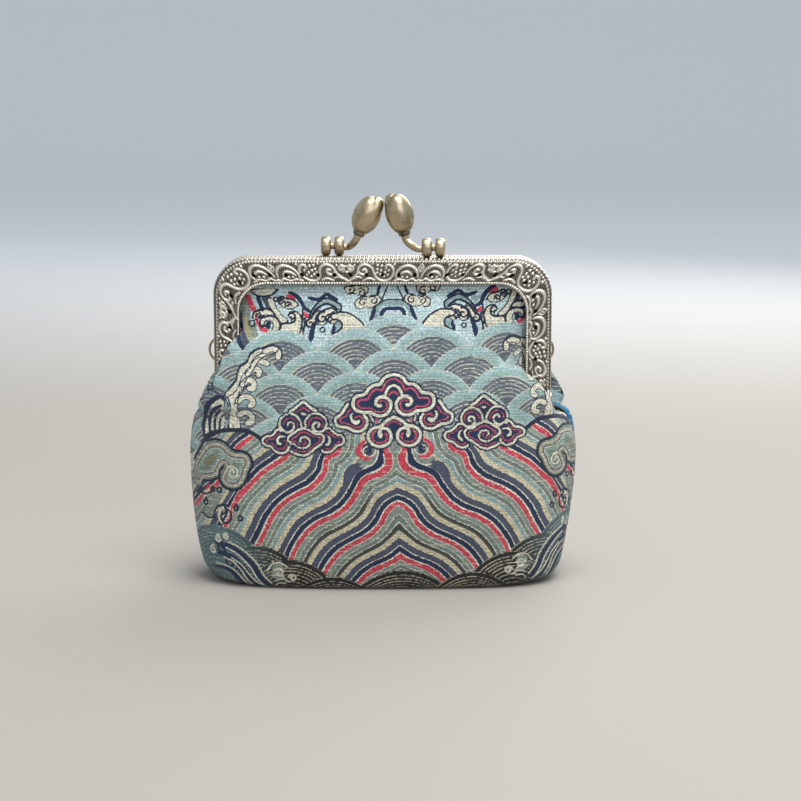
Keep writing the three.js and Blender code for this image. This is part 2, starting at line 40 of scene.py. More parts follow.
# Shapes below are worked out in millimetres and turned into metres in makePiece.
snap = {
    "width": 85.0, "top": 82.0, "depth": 5.2, "closingGap": 0.6, "channel": 6.4, "wall": 0.7,
    "outerRadius": 9.0, "innerRadius": 7.0, "armEnd": 48.6, "armSlant": 2.6, "edgeRound": 0.9,
}
throat = snap["top"] - snap["channel"]
lipX = snap["width"] / 2 - snap["channel"]
backFace = snap["closingGap"] / 2
frontFace = backFace + snap["depth"]


def mix(a, b, share):
    # a moved towards b by the share
    return a + (b - a) * share


def smoothStep(x):
    # 3t^2 - 2t^3, with t held between 0 and 1
    t = np.clip(x, 0, 1)
    return t * t * (3 - 2 * t)


def tone(red, green, blue):
    # a screen colour from 0 to 255 as a linear colour with alpha 1
    c = np.array([red, green, blue]) / 255
    c = np.where(c <= 0.04045, c / 12.92, ((c + 0.055) / 1.055) ** 2.4)
    return (float(c[0]), float(c[1]), float(c[2]), 1.0)


def through(knots, values, at):
    # cubic Hermite curve through the values, each slope the weighted mean of its two chords
    step = np.diff(knots)
    wide = (-1,) + (1,) * (values.ndim - 1)
    chord = np.diff(values, axis=0) / step.reshape(wide)
    share = (step[:-1] / (step[:-1] + step[1:])).reshape(wide)
    slope = np.empty_like(values)
    slope[1:-1] = chord[:-1] * (1 - share) + chord[1:] * share
    slope[0], slope[-1] = chord[0], chord[-1]
    i = np.clip(np.searchsorted(knots, at, side="right") - 1, 0, len(knots) - 2)
    h = step[i].reshape(wide)
    t = ((at - knots[i]) / step[i]).reshape(wide)
    return (
        (2 * t**3 - 3 * t**2 + 1) * values[i] + (t**3 - 2 * t**2 + t) * h * slope[i]
        + (3 * t**2 - 2 * t**3) * values[i + 1] + (t**3 - t**2) * h * slope[i + 1]
    )


def smoothPath(points, pitch):
    # the points joined by a smooth curve and sampled about every pitch along it
    points = np.array(points, float)
    if len(points) < 3:
        count = max(2, int(np.linalg.norm(points[-1] - points[0]) / pitch) + 1)
        return points[0] + (points[-1] - points[0]) * np.linspace(0, 1, count)[:, None]
    chord = np.linalg.norm(np.diff(points[:, :2], axis=0), axis=1)
    knots = np.concatenate([[0], np.cumsum(np.sqrt(chord) + 1e-6)])
    count = max(len(points), int(chord.sum() / pitch) + 1)
    return through(knots, points, np.linspace(0, knots[-1], count))


def gridQuads(rows, columns, start=0, wrapColumns=False):
    # corner numbers of the cells of a grid of points, row by row
    r = np.arange(rows - 1)[:, None]
    c = np.arange(columns if wrapColumns else columns - 1)[None, :]
    after = (c + 1) % columns
    cells = [r * columns + c, r * columns + after, (r + 1) * columns + after, (r + 1) * columns + c]
    return start + np.stack([k + 0 * (r + c) for k in cells], -1).reshape(-1, 4)


def asTriangles(quads):
    # each quad cut along its first diagonal
    return np.concatenate([quads[:, [0, 1, 2]], quads[:, [0, 2, 3]]])


def makePiece(name, points, faces, materials, slotOf=None):
    # a mesh object at the origin, from points in millimetres and equal-sided faces
    mesh = bpy.data.meshes.new(name)
    faces = np.ascontiguousarray(faces, np.int32)
    sides = faces.shape[1]
    mesh.vertices.add(len(points))
    mesh.vertices.foreach_set("co", (np.asarray(points, np.float64) * 0.001).astype(np.float32).ravel())
    mesh.loops.add(faces.size)
    mesh.loops.foreach_set("vertex_index", faces.ravel())
    mesh.polygons.add(len(faces))
    mesh.polygons.foreach_set("loop_start", np.arange(0, faces.size, sides, dtype=np.int32))
    mesh.update(calc_edges=True)
    for material in materials:
        mesh.materials.append(material)
    if slotOf is not None:
        mesh.polygons.foreach_set("material_index", np.asarray(slotOf, np.int32))
    mesh.polygons.foreach_set("use_smooth", np.full(len(faces), True))
    mesh.update()
    piece = bpy.data.objects.new(name, mesh)
    bpy.context.scene.collection.objects.link(piece)
    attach(piece, "root")
    return piece


def setAttribute(piece, name, values):
    # one number for each point of the mesh
    layer = piece.data.attributes.new(name, "FLOAT", "POINT")
    layer.data.foreach_set("value", np.asarray(values, np.float32).ravel())


def setMap(piece, across, up):
    # a UV map that holds the place on the cloth in millimetres
    layer = piece.data.uv_layers.new(name="cloth")
    corner = np.empty(len(piece.data.loops), np.int32)
    piece.data.loops.foreach_get("vertex_index", corner)
    layer.data.foreach_set("uv", np.column_stack([across[corner], up[corner]]).astype(np.float32).ravel())


# Shader groups
class Board:
    # lays nodes in a tree and links them
    def __init__(self, tree):
        self.tree = tree
        self.count = 0

    def add(self, kind, settings=None, **inputs):
        # one node with its settings and inputs; i0, i1 and so on are inputs by number
        node = self.tree.nodes.new(kind)
        node.location = (180 * (self.count % 12), -220 * (self.count // 12))
        self.count += 1
        for key, value in (settings or {}).items():
            setattr(node, key, value)
        for key, value in inputs.items():
            self.feed(node, int(key[1:]) if key[0] == "i" and key[1:].isdigit() else key, value)
        return node

    def feed(self, node, key, value):
        # links a socket or a node's first output to an input, or sets a plain value there
        socket = node.inputs[key]
        if isinstance(value, bpy.types.NodeSocket):
            self.tree.links.new(value, socket)
        elif isinstance(value, bpy.types.Node):
            self.tree.links.new(value.outputs[0], socket)
        else:
            socket.default_value = value

    def math(self, operation, a, b=0.0, c=0.0, clamp=False):
        # one step of arithmetic; MULTIPLY_ADD is a times b plus c
        node = self.add("ShaderNodeMath", {"operation": operation, "use_clamp": clamp}, i0=a, i1=b)
        if operation in ("MULTIPLY_ADD", "COMPARE", "SMOOTH_MIN", "SMOOTH_MAX"):
            self.feed(node, 2, c)
        return node.outputs[0]

    def blend(self, share, a, b, kind="MIX"):
        # colour a moved towards b by the share, or towards a times b for MULTIPLY
        node = self.add("ShaderNodeMix", {"data_type": "RGBA", "blend_type": kind})
        self.feed(node, 0, share)
        self.feed(node, 6, a)
        self.feed(node, 7, b)
        return node.outputs[2]

    def range(self, value, low, high, toLow=0.0, toHigh=1.0, kind="SMOOTHSTEP"):
        # carries a value from between low and high to between toLow and toHigh
        node = self.add("ShaderNodeMapRange", {"interpolation_type": kind})
        for key, given in enumerate([value, low, high, toLow, toHigh]):
            self.feed(node, key, given)
        return node.outputs[0]

    def noise(self, vector, scale, detail=2.0, rough=0.5):
        # soft cloudy noise from 0 to 1
        node = self.add("ShaderNodeTexNoise")
        for key, given in {"Vector": vector, "Scale": scale, "Detail": detail, "Roughness": rough}.items():
            self.feed(node, key, given)
        return node.outputs[0]

    def group(self, group, **inputs):
        # a node that holds one of the shader groups
        node = self.add("ShaderNodeGroup", {"node_tree": group})
        for key, value in inputs.items():
            self.feed(node, key, value)
        return node


def newGroup(name, inputs, outputs):
    # an empty node group with the named sockets, its board, and its two end nodes
    tree = bpy.data.node_groups.new(name, "ShaderNodeTree")
    for word, kind, given in inputs:
        socket = tree.interface.new_socket(name=word, in_out="INPUT", socket_type="NodeSocket" + kind)
        if given is not None:
            socket.default_value = given
    for word, kind in outputs:
        tree.interface.new_socket(name=word, in_out="OUTPUT", socket_type="NodeSocket" + kind)
    board = Board(tree)
    return board, board.add("NodeGroupInput"), board.add("NodeGroupOutput")


def makeInlay():
    # Ink laid over Below wherever Distance is under nought, with a soft edge of Softness
    b, start, end = newGroup(
        "inlay",
        [
            ("Below", "Color", None), ("Ink", "Color", None), ("Distance", "Float", 1.0),
            ("Softness", "Float", 0.05),
        ],
        [("Color", "Color"), ("Mask", "Float")],
    )
    low = b.math("MULTIPLY", start.outputs["Softness"], -1.0)
    share = b.range(start.outputs["Distance"], low, start.outputs["Softness"], 1.0, 0.0)
    b.feed(end, "Color", b.blend(share, start.outputs["Below"], start.outputs["Ink"]))
    b.feed(end, "Mask", share)
    return b.tree


def makeWeave():
    # A plain weave at thread scale: each thread crossing is a small dome, raised by turns,
    # with a chance shade of its own; Jitter shifts a pattern's edge from thread to thread.
    b, start, end = newGroup(
        "clothWeave",
        [("Place", "Vector", None), ("Across", "Float", 0.34), ("Up", "Float", 0.42)],
        [
            ("Height", "Float"), ("Shade", "Float"), ("Jitter", "Float"), ("Dash", "Float"),
            ("Float", "Float"),
        ],
    )
    split = b.add("ShaderNodeSeparateXYZ", i0=start.outputs["Place"])
    u = b.math("DIVIDE", split.outputs[0], start.outputs["Across"])
    v = b.math("DIVIDE", split.outputs[1], start.outputs["Up"])
    row = b.math("FLOOR", v)
    shifted = b.math("MULTIPLY_ADD", row, 0.5, u)
    column = b.math("FLOOR", shifted)
    cell = b.add("ShaderNodeCombineXYZ", i0=column, i1=row)
    chance = b.add("ShaderNodeTexWhiteNoise", {"noise_dimensions": "2D"})
    b.feed(chance, "Vector", cell.outputs[0])
    acrossDome = b.math("SINE", b.math("MULTIPLY", b.math("FRACT", shifted), math.pi))
    upDome = b.math("SINE", b.math("MULTIPLY", b.math("FRACT", v), math.pi))
    dome = b.math("MULTIPLY", b.math("POWER", acrossDome, 0.6), b.math("POWER", upDome, 0.6))
    b.feed(end, "Height", b.math("MULTIPLY_ADD", chance.outputs[0], 0.35, dome))
    b.feed(end, "Shade", chance.outputs[0])
    b.feed(end, "Jitter", b.math("MULTIPLY_ADD", chance.outputs[0], 0.22, -0.11))
    weft = b.math("FRACT", b.math("MULTIPLY", v, 0.5))
    line = b.range(b.math("ABSOLUTE", b.math("SUBTRACT", weft, 0.5)), 0.1, 0.3, 1.0, 0.0)
    long = b.add("ShaderNodeCombineXYZ", i0=b.math("FLOOR", b.math("MULTIPLY", u, 0.16)), i1=row)
    run = b.add("ShaderNodeTexWhiteNoise", {"noise_dimensions": "2D"})
    b.feed(run, "Vector", long.outputs[0])
    b.feed(end, "Dash", b.math("MULTIPLY", line, b.range(run.outputs[0], 0.35, 0.7)))
    fourRows = b.math("MULTIPLY", v, 0.25)
    offMiddle = b.math("ABSOLUTE", b.math("SUBTRACT", b.math("FRACT", fourRows), 0.5))
    thin = b.range(offMiddle, 0.06, 0.14, 1.0, 0.0)
    length = b.math("FLOOR", b.math("MULTIPLY", u, 0.4))
    short = b.add("ShaderNodeCombineXYZ", i0=length, i1=b.math("FLOOR", fourRows))
    shortChance = b.add("ShaderNodeTexWhiteNoise", {"noise_dimensions": "2D"})
    b.feed(shortChance, "Vector", short.outputs[0])
    b.feed(end, "Float", b.math("MULTIPLY", thin, b.range(shortChance.outputs[0], 0.4, 0.7)))
    return b.tree


def makeTarnishAndShade():
    # Old plated metal: dark where its darkening input is high, which is patina in the frame's hollows and
    # painted shade in the sewing holes and low on the clasp; bright on what stands proud, with a fine cloud
    # of stain
    b, start, end = newGroup(
        "tarnishAndShade",
        [
            ("Place", "Vector", None), ("Hollow", "Float", 0.5), ("Bright", "Color", None),
            ("Dull", "Color", None), ("Stain", "Float", 0.35),
        ],
        [("Color", "Color"), ("Roughness", "Float"), ("Height", "Float")],
    )
    cloud = b.noise(start.outputs["Place"], 260.0, 4.0, 0.65)
    grain = b.noise(start.outputs["Place"], 2600.0, 3.0, 0.6)
    stain = b.math("MULTIPLY", b.range(cloud, 0.42, 0.72), start.outputs["Stain"])
    dark = b.math("ADD", start.outputs["Hollow"], stain, clamp=True)
    speck = b.math("MULTIPLY_ADD", b.math("SUBTRACT", grain, 0.5), 0.3, dark, clamp=True)
    b.feed(end, "Color", b.blend(speck, start.outputs["Bright"], start.outputs["Dull"]))
    b.feed(end, "Roughness", b.range(speck, 0.0, 1.0, 0.26, 0.62, "LINEAR"))
    b.feed(end, "Height", b.math("MULTIPLY_ADD", cloud, 0.4, grain))
    return b.tree


groups = {"inlay": makeInlay(), "weave": makeWeave(), "tarnishAndShade": makeTarnishAndShade()}
print("purse: shader groups built")


# Camera, floor and light
camera = {"lens": 89.9, "across": 0.0045, "back": -0.507, "up": 0.126, "tilt": 9.05}
skyLight = {"colour": (0.83, 0.87, 0.92, 1), "strength": 0.62}
# near is the floor's own grey; far is painted light, the floor and backdrop painted paler behind the purse
# where the lamps leave them dim
floorTones = {"near": (tone(158, 153, 146), tone(166, 162, 156)), "far": tone(238, 243, 246)}
lamps = {
    # place, aimed at, width, height, watts, colour
    "keyLight": ((0.12, -0.16, 0.75), (0, 0, 0.04), 0.45, 0.45, 5.4, (1.0, 0.985, 0.96)),
    "frontLight": ((0.3, -0.95, 0.55), (0, 0, 0.045), 0.9, 0.6, 2.4, (0.96, 0.98, 1.0)),
    "backLight": ((0.3, 0.55, 0.5), (0, 0, 0.06), 0.6, 0.5, 3.5, (1.0, 0.98, 0.95)),
}


def makeStage():
    # a camera, three soft lamps, a pale sky, and a grey floor that curves up far behind and is painted paler
    # there, as painted light on the backdrop
    data = bpy.data.cameras.new("camera")
    data.lens = camera["lens"]
    data.sensor_width = 36
    data.clip_start = 0.01
    eye = bpy.data.objects.new("camera", data)
    eye.location = (camera["across"], camera["back"], camera["up"])
    eye.rotation_euler = (math.radians(90 - camera["tilt"]), 0, 0)
    bpy.context.scene.collection.objects.link(eye)
    bpy.context.scene.camera = eye
    for name, (place, aim, width, height, watts, colour) in lamps.items():
        lamp = bpy.data.lights.new(name, "AREA")
        lamp.shape = "RECTANGLE"
        lamp.size, lamp.size_y = width, height
        lamp.energy = watts
        lamp.color = colour
        holder = bpy.data.objects.new(name, lamp)
        holder.location = place
        look = np.array(aim) - np.array(place)
        pitch = math.atan2(math.hypot(look[0], look[1]), -look[2])
        holder.rotation_euler = (pitch, 0, math.atan2(look[1], look[0]) - math.pi / 2)
        bpy.context.scene.collection.objects.link(holder)
    sky = bpy.data.worlds.new("sky")
    bpy.context.scene.world = sky
    sky.use_nodes = True
    sky.node_tree.nodes["Background"].inputs[0].default_value = skyLight["colour"]
    sky.node_tree.nodes["Background"].inputs[1].default_value = skyLight["strength"]
    material = bpy.data.materials.new("paleFloor")
    material.use_nodes = True
    b = Board(material.node_tree)
    shader = material.node_tree.nodes["Principled BSDF"]
    place = b.add("ShaderNodeTexCoord").outputs["Object"]
    near = b.blend(b.noise(place, 3.0), *floorTones["near"])
    # painted light: the floor turns paler with distance behind the purse
    away = b.range(b.add("ShaderNodeSeparateXYZ", i0=place).outputs[1], 0.15, 1.1)
    b.feed(shader, "Base Color", b.blend(away, near, floorTones["far"]))
    shader.inputs["Roughness"].default_value = 0.8
    # level to two metres behind the purse, then a quarter circle up
    along = np.linspace(0, 1, 49)
    y = np.where(along < 0.5, -3 + along * 2 * 5, 2 + 1.2 * np.sin((along - 0.5) * math.pi))
    z = np.where(along < 0.5, 0, 1.2 * (1 - np.cos((along - 0.5) * math.pi)))
    x = np.linspace(-3, 3, 9)
    points = np.stack(np.broadcast_arrays(x[None, :], y[:, None], z[:, None]), -1).reshape(-1, 3)
    mesh = bpy.data.meshes.new("floor")
    mesh.from_pydata(points.tolist(), [], gridQuads(49, 9).tolist())
    mesh.materials.append(material)
    mesh.polygons.foreach_set("use_smooth", np.full(len(mesh.polygons), True))
    floor = bpy.data.objects.new("floor", mesh)
    bpy.context.scene.collection.objects.link(floor)


makeStage()
bpy.context.scene.view_settings.view_transform = "Standard"
print("purse: camera, floor and lamps placed")


# The cloth body
body = {
    "width": 99.0, "depth": 40.0, "wall": 1.2, "seamGap": 0.04, "tongue": 1.4, "clearance": 0.3,
    "columns": 341, "rows": 265, "coarse": 4,  # points of the outer face, and how much coarser the inner is
    "aroundPoints": 193, "upPoints": 900,  # points of the curves that are resampled
}
tuckedFace = backFace + snap["depth"] / 2 + body["wall"] / 2
# Sections from the table up. Height is a share of the throat. The reaches say how far the
# front bulges left and right and the back to both sides, from the frame's lip, 0, to half
# the body's width, 1. Bulge and brow are depths in the middle and at the widest point.
# Framed and parted say how far the edge has moved to the frame, and square how boxy it is.
sections = np.array([
    [0.0, 0.26, 0.26, 0.26, 0.84, 0, 0, 0, 1.0],
    [0.012, 0.53, 0.51, 0.51, 0.905, 0, 0, 0, 0.98],
    [0.045, 0.72, 0.69, 0.69, 0.952, 0, 0, 0, 0.93],
    [0.11, 0.84, 0.79, 0.8, 0.984, 0, 0, 0, 0.8],
    [0.21, 0.93, 0.89, 0.9, 1.0, 0, 0, 0, 0.62],
    [0.34, 0.99, 0.98, 0.98, 0.98, 0.1, 0, 0, 0.42],
    [0.46, 1, 1, 1, 0.93, 0.14, 0, 0, 0.3],
    [0.515, 0.96, 0.93, 0.96, 0.892, 0.2, 0, 0, 0.26],
    [0.556, 0.9, 0.79, 0.9, 0.856, 0.3, 0, 0, 0.24],
    [0.571, 0.88, 0.72, 0.9, 0.843, 0.33, 0.1, 0.95, 0.24],
    [0.6, 0.86, 0.59, 0.88, 0.81, 0.34, 0.6, 1.25, 0.2],
    [0.64, 0.7, 0.42, 0.74, 0.755, 0.36, 0.9, 1.05, 0.2],
    [0.68, 0.55, 0.22, 0.59, 0.695, 0.37, 1, 1, 0.2],
    [0.74, 0.36, 0.03, 0.35, 0.6, 0.37, 1, 1, 0.2],
    [0.8, 0.21, 0, 0.1, 0.515, 0.35, 1, 1, 0.2],
    [0.86, 0.05, 0, 0, 0.42, 0.3, 1, 1, 0.2],
    [0.92, 0, 0, 0, 0.325, 0.22, 1, 1, 0.2],
    [0.97, 0, 0, 0, 0.24, 0.18, 1, 1, 0.2],
    [1.0, 0, 0, 0, 0.2, 0.18, 1, 1, 0.2],
])
sectionAngles = np.radians([0, 5, 11, 19, 31, 54, 90])
flatShares = np.array([0.985, 0.92, 0.76, 0.45, 0])


def lipAt(z, offset):
    # inner edge of the channel at a height: a straight arm, then a quarter circle to the top
    up = z - (throat - snap["innerRadius"])
    radius = snap["innerRadius"] + offset
    if up <= 0:
        return lipX + offset
    return lipX - snap["innerRadius"] + math.sqrt(max(0.0, radius * radius - up * up))


def halfSection(row, share):
    # half a section, seam first: a squared ellipse below the hinges, and above them out of
    # the channel, round its lip and over the arm as far as the reach
    z = row[0] * throat
    bulgeShare, browShare, framed, parted, square = row[4:]
    reach = mix(lipAt(z, 0), body["width"] / 2, share)
    bulge = max(bulgeShare * body["depth"] / 2, tuckedFace + 0.02)
    brow = browShare * body["depth"] / 2
    start = body["seamGap"] / 2
    c, s = np.maximum(0, np.cos(sectionAngles)), np.sin(sectionAngles)
    x = reach * c ** (2 / mix(2.2, 3.6, square))
    free = np.column_stack([x, start + (bulge - start) * s ** (2 / mix(2.0, 2.9, square))])
    if framed == 0:
        return free
    gap = body["clearance"]
    lip = lipAt(z, 0) - gap
    over = reach - lip - gap
    clear = frontFace + 0.35 + gap
    deep = tuckedFace + (bulge - tuckedFace) * (1 - flatShares**3) ** 0.7
    flat = np.column_stack([flatShares * lip, deep])
    rolled = np.array([
        [lip - gap, clear - 0.5 * gap],
        [reach, max(brow, clear + 2 * gap)],
        [0.97 * reach - 0.06 * over, mix(brow, bulge, 0.34)],
        [0.7 * reach, mix(brow, bulge, 0.74)],
        [0, bulge],
    ])
    edge = [lipAt(min(z, throat + body["tongue"]), body["tongue"]), tuckedFace]
    held = np.vstack([
        edge, [lip - gap / 2, tuckedFace + gap / 3], mix(flat, rolled, smoothStep(over / 1.6)),
    ])
    points = mix(free, held, framed)
    if framed < 1:
        least = mix(start, tuckedFace, parted) + 1.2 * gap * np.arange(len(points))
        points[:, 1] = np.maximum(points[:, 1], least)
    return points


def clothFace(leftColumn, rightColumn, rows, columns):
    # the outer face of one panel: smooth curves along the sections, then up through them,
    # resampled evenly by length; with each point's place on the cloth, across and up
    net = []
    count = 2 * len(sectionAngles) - 1
    for row in sections:
        left, right = halfSection(row, row[leftColumn]), halfSection(row, row[rightColumn])
        points = np.vstack([left * [-1, 1], right[::-1][1:]])
        net.append(np.column_stack([points, np.full(count, row[0] * throat)]))
    foot = net[0]
    for ring in (0.5, 0.0):
        depth = mix(body["seamGap"] / 2, foot[:, 1], ring)
        net.insert(0, np.column_stack([foot[:, 0] * mix(0.5, 1, ring), depth, np.zeros(count)]))
    for up in (0.55, 1.0):
        z = throat + up * body["tongue"]
        x = -lipAt(z, body["tongue"]) * np.cos(np.linspace(0, np.pi, count))
        net.append(np.column_stack([x, np.full(count, tuckedFace), np.full(count, z)]))
    fine, tall = body["aroundPoints"], body["upPoints"]
    steps = np.arange(count)
    curves = []
    for points in net:
        knots = np.concatenate([[0], np.cumsum(np.linalg.norm(np.diff(points, axis=0), axis=1) ** 0.5)])
        curves.append(through(knots, points, np.interp(np.linspace(0, count - 1, fine), steps, knots)))
    curves = np.array(curves)
    middle = fine // 2
    rise = np.linalg.norm(np.diff(curves[:, middle], axis=0), axis=1) ** 0.5
    knots = np.concatenate([[0], np.cumsum(rise + 1e-6)])
    dense = through(
        knots, curves.reshape(len(curves), -1), np.linspace(0, knots[-1], tall),
    ).reshape(tall, fine, 3)
    dense[..., 2] = np.maximum(dense[..., 2], 0)
    run = np.concatenate([[0], np.cumsum(np.linalg.norm(np.diff(dense[:, middle], axis=0), axis=1))])
    level = np.linspace(0, run[-1], rows)
    place = np.interp(level, run, np.arange(tall))
    low = np.clip(place.astype(int), 0, tall - 2)
    grid = mix(dense[low], dense[low + 1], (place - low)[:, None, None])
    length = np.linalg.norm(np.diff(grid, axis=1), axis=2)
    gone = np.concatenate([np.zeros((rows, 1)), np.cumsum(length, axis=1)], axis=1)
    wanted = gone[:, -1:] * np.linspace(0, 1, columns)
    shift = 1000.0 * np.arange(rows)[:, None]  # keeps each row's lengths apart in one lookup
    even = [
        np.interp((wanted + shift).ravel(), (gone + shift).ravel(), grid[..., k].ravel()) for k in range(3)
    ]
    across = wanted - gone[:, middle : middle + 1]
    up = level - run[np.argmax(dense[:, middle, 2] > 0.05)]
    return np.stack(even, -1).reshape(rows, columns, 3), across, np.repeat(up[:, None], columns, axis=1)


def surfaceNormals(points):
    # unit normals of a grid, the cross product of its two directions
    across = np.gradient(points, axis=1)
    up = np.gradient(points, axis=0)
    normal = np.cross(across, up)
    return normal / np.maximum(np.linalg.norm(normal, axis=2, keepdims=True), 1e-9)


# The woven pattern, charted on the cloth in millimetres for one half and mirrored:
# the first number is the distance from the pattern's middle and the second the height
weave = {
    "sway": [(0, 0.1), (22, 0), (30, -0.12), (40, -0.38), (48, -0.27), (58, 0), (66, 0.3), (80, 0.4)],
    "middle": 3.5, "backMiddle": -1.5, "height": 35.0, "lean": 1.94,  # the pattern's middle line
    "scaleRadius": 12.4, "scaleBand": 2.7, "scaleSpread": 9.5, "scaleRise": 5.65, "scaleTop": 67.9,
    "scaleRows": 8, "crownDrop": 2.4, "scaleLines": (0.1, 2.8, 3.8, 4.8, 5.8, 6.8, 7.8), "lineHalf": 0.15,
    "bareEdge": 9.5, "selvedge": 0.7, "bareFrom": 36, "outerWave": 8.0, "bandFoot": 64.8, "bandSide": 34.5,
}


def patternPlace(across, up, middle):
    # turns the cloth's place into the pattern's, which leans a little and sways along its middle
    lean = math.radians(weave["lean"])
    x = (across - middle) * math.cos(lean) + (up - weave["height"]) * math.sin(lean)
    y = -(across - middle) * math.sin(lean) + (up - weave["height"]) * math.cos(lean) + weave["height"]
    sway = np.array(weave["sway"])
    return np.abs(x - np.interp(y, sway[:, 0], sway[:, 1])), y


def lineDistance(x, y, path, reach=2.5):
    # distance from each point to the nearest place on a path, less half the path's width there;
    # only points near the path are worked out, and the rest keep a large number
    far = np.full(x.shape, 9.0, np.float32)
    low, high = path[:, :2].min(axis=0) - reach, path[:, :2].max(axis=0) + reach
    near = np.flatnonzero((x > low[0]) & (x < high[0]) & (y > low[1]) & (y < high[1]))
    if len(near) == 0:
        return far
    px, py = x[near].astype(np.float32), y[near].astype(np.float32)
    best = np.full(len(near), 81.0, np.float32)
    half = path[:, 2] / 2
    for a, b, ha, hb in zip(path[:-1, :2], path[1:, :2], half[:-1], half[1:]):
        dx, dy = b - a
        t = np.clip(((px - a[0]) * dx + (py - a[1]) * dy) / max(dx * dx + dy * dy, 1e-9), 0, 1)
        gap = np.hypot(px - a[0] - t * dx, py - a[1] - t * dy) - (ha + (hb - ha) * t)
        best = np.minimum(best, gap)
    far[near] = best
    return far


def nearestLine(x, y, paths, reach):
    # distance to the nearest of several paths, less half its width
    best = np.full(x.shape, 9.0, np.float32)
    for path in paths:
        best = np.minimum(best, lineDistance(x, y, path, reach))
    return best


def fillDistance(x, y, outline):
    # signed distance to a closed outline, negative inside, by crossing count
    path = np.column_stack([outline, np.zeros(len(outline))])
    closed = np.vstack([path, path[:1]])
    away = lineDistance(x, y, closed, 30.0)
    inside = np.zeros(x.shape, bool)
    for (ax, ay, _), (bx, by, _) in zip(closed[:-1], closed[1:]):
        if ay != by:
            inside ^= ((ay > y) != (by > y)) & (x < (bx - ax) * (y - ay) / (by - ay) + ax)
    return np.where(inside, -away, away)


def stroke(width, points):
    # a smooth line of even width, or of the width that each point gives third
    points = np.array(points, float)
    if points.shape[1] == 2:
        points = np.column_stack([points, np.full(len(points), width)])
    return smoothPath(points, 0.3)


def curl(width, x, y, outer, inner, start, turn):
    # a spiral from the outer radius to the inner one, angles in degrees
    t = np.linspace(0, 1, max(8, int(abs(turn) / 20)))
    angle = np.radians(start + turn * t)
    radius = mix(outer, inner, t)
    points = np.column_stack([
        x + radius * np.cos(angle), y + radius * np.sin(angle), np.full(len(t), width),
    ])
    return smoothPath(points, 0.3)


def blob(points):
    # a closed smooth outline
    points = np.array(points, float)
    ring = np.vstack([points[-2:], points, points[:3]])
    chord = np.linalg.norm(np.diff(ring, axis=0), axis=1)
    knots = np.concatenate([[0], np.cumsum(np.sqrt(chord))])
    return through(knots, ring, np.linspace(knots[2], knots[-3], max(16, int(chord.sum() / 0.4))))


# The cloud heads: cream bands with a pink line inside them, on navy
headBand = [
    (-0.3, 55.7), (1.6, 55.2), (2.6, 54.4), (3, 53.6), (3.7, 53.1), (4.6, 53.05), (5.6, 52.6), (6.4, 51.8),
    (7, 50.9), (7.9, 50.6), (9.2, 50.3), (9.95, 49.5), (10.1, 48.3), (9.75, 47.2), (8.75, 46.5),
    (7.3, 46.2), (5.9, 46.15), (4.9, 45.6), (3.8, 45.2), (2.6, 45.25), (1.5, 45.9), (0.8, 47),
    (0.65, 48.2), (1.2, 49.2), (2.1, 49.8), (3.2, 49.9), (4, 49.5), (4.45, 48.8), (4.3, 48.1), (3.8, 47.7),
    (3.2, 47.75),
]
sideBand = [
    (11.4, 48.4), (12, 47.6), (12.5, 46.7), (13.3, 45.7), (14.4, 45), (14.6, 44.1), (14.2, 43.1),
    (13, 42.7), (11.6, 42.5), (10.6, 41.9), (9.5, 41.5), (8.3, 41.6), (7.3, 42.2), (6.7, 43.3),
    (6.7, 44.4), (7.3, 45.2),
]
lowBand = [
    (-0.3, 44.9), (1.2, 44.2), (2.2, 43.6), (2.9, 42.9), (3.6, 42.5), (4.8, 42.3), (5.9, 41.6), (6.5, 40.5),
    (6.3, 39.2), (5.5, 38.2), (4.3, 37.6), (3, 37.6), (1.8, 38.1), (1, 39), (0.8, 40), (1, 41),
    (1.7, 41.8), (2.7, 42),
]
farLeft = [
    (22.1, 43.1), (22.1, 44.3), (21.4, 45.4), (20.3, 46.1), (19.1, 46.2), (17.8, 45.6), (17, 44.6),
    (16.8, 43.4), (17.1, 42.5), (17.8, 41.8), (18.8, 41.5), (19.7, 41.9), (20.2, 42.6), (20.1, 43.5),
    (19.5, 44), (18.8, 43.9), (18.6, 43.2), (19, 42.9),
]
farRight = [
    (23.1, 42.9), (23.3, 44), (23.8, 45), (24.7, 45.9), (25.8, 46.3), (27, 46), (28.1, 45.2),
    (28.6, 44.1), (28.5, 43), (27.8, 42.2), (26.8, 41.6), (25.8, 41.8), (25.1, 42.5), (25, 43.5),
    (25.5, 44.1), (26.3, 44.1), (26.5, 43.4),
]
farRoof = [(19.4, 46.9), (20.5, 47.5), (21.5, 48.4), (22.6, 49.2), (23.8, 48.3), (24.9, 47.4), (25.9, 46.8)]
farEye = [
    (18.2, 37), (17.7, 36.9), (19, 38), (18.2, 38.6), (17.7, 39.4), (17.6, 40.4), (18.4, 41.1),
    (19.5, 41.1), (20.4, 41.6), (21.4, 42.2), (22.7, 42.5), (23.9, 42.2), (24.9, 41.5), (25.9, 40.9),
    (26.5, 40.2), (26.5, 39.5), (25.8, 38.9),
]
farLeftLobe = [
    (17.2, 42.3), (16.1, 42.4), (15.2, 41.5), (14.2, 40.8), (13.1, 40.5), (12.5, 39.6), (12.8, 38.7),
    (13.7, 38.2), (14.6, 37.9), (15.3, 37.1), (16.4, 36.5), (17.5, 36.5), (18.2, 37),
]
farRightLobe = [
    (28.3, 41.9), (29, 42.4), (29.7, 41.9), (30.1, 41.2), (30.8, 40.8), (32, 40.6), (33, 39.9),
    (32.9, 38.9), (32.1, 38.4), (30.8, 38), (30, 37), (28.9, 36.5), (27.8, 36.5), (26.8, 37.1),
    (26.4, 38),
]
farBase = [
    (18.9, 38.2), (20, 37.4), (20.9, 36.6), (22, 36), (23, 35.8), (24.2, 36.1), (25.2, 36.4),
    (26, 36.9),
]
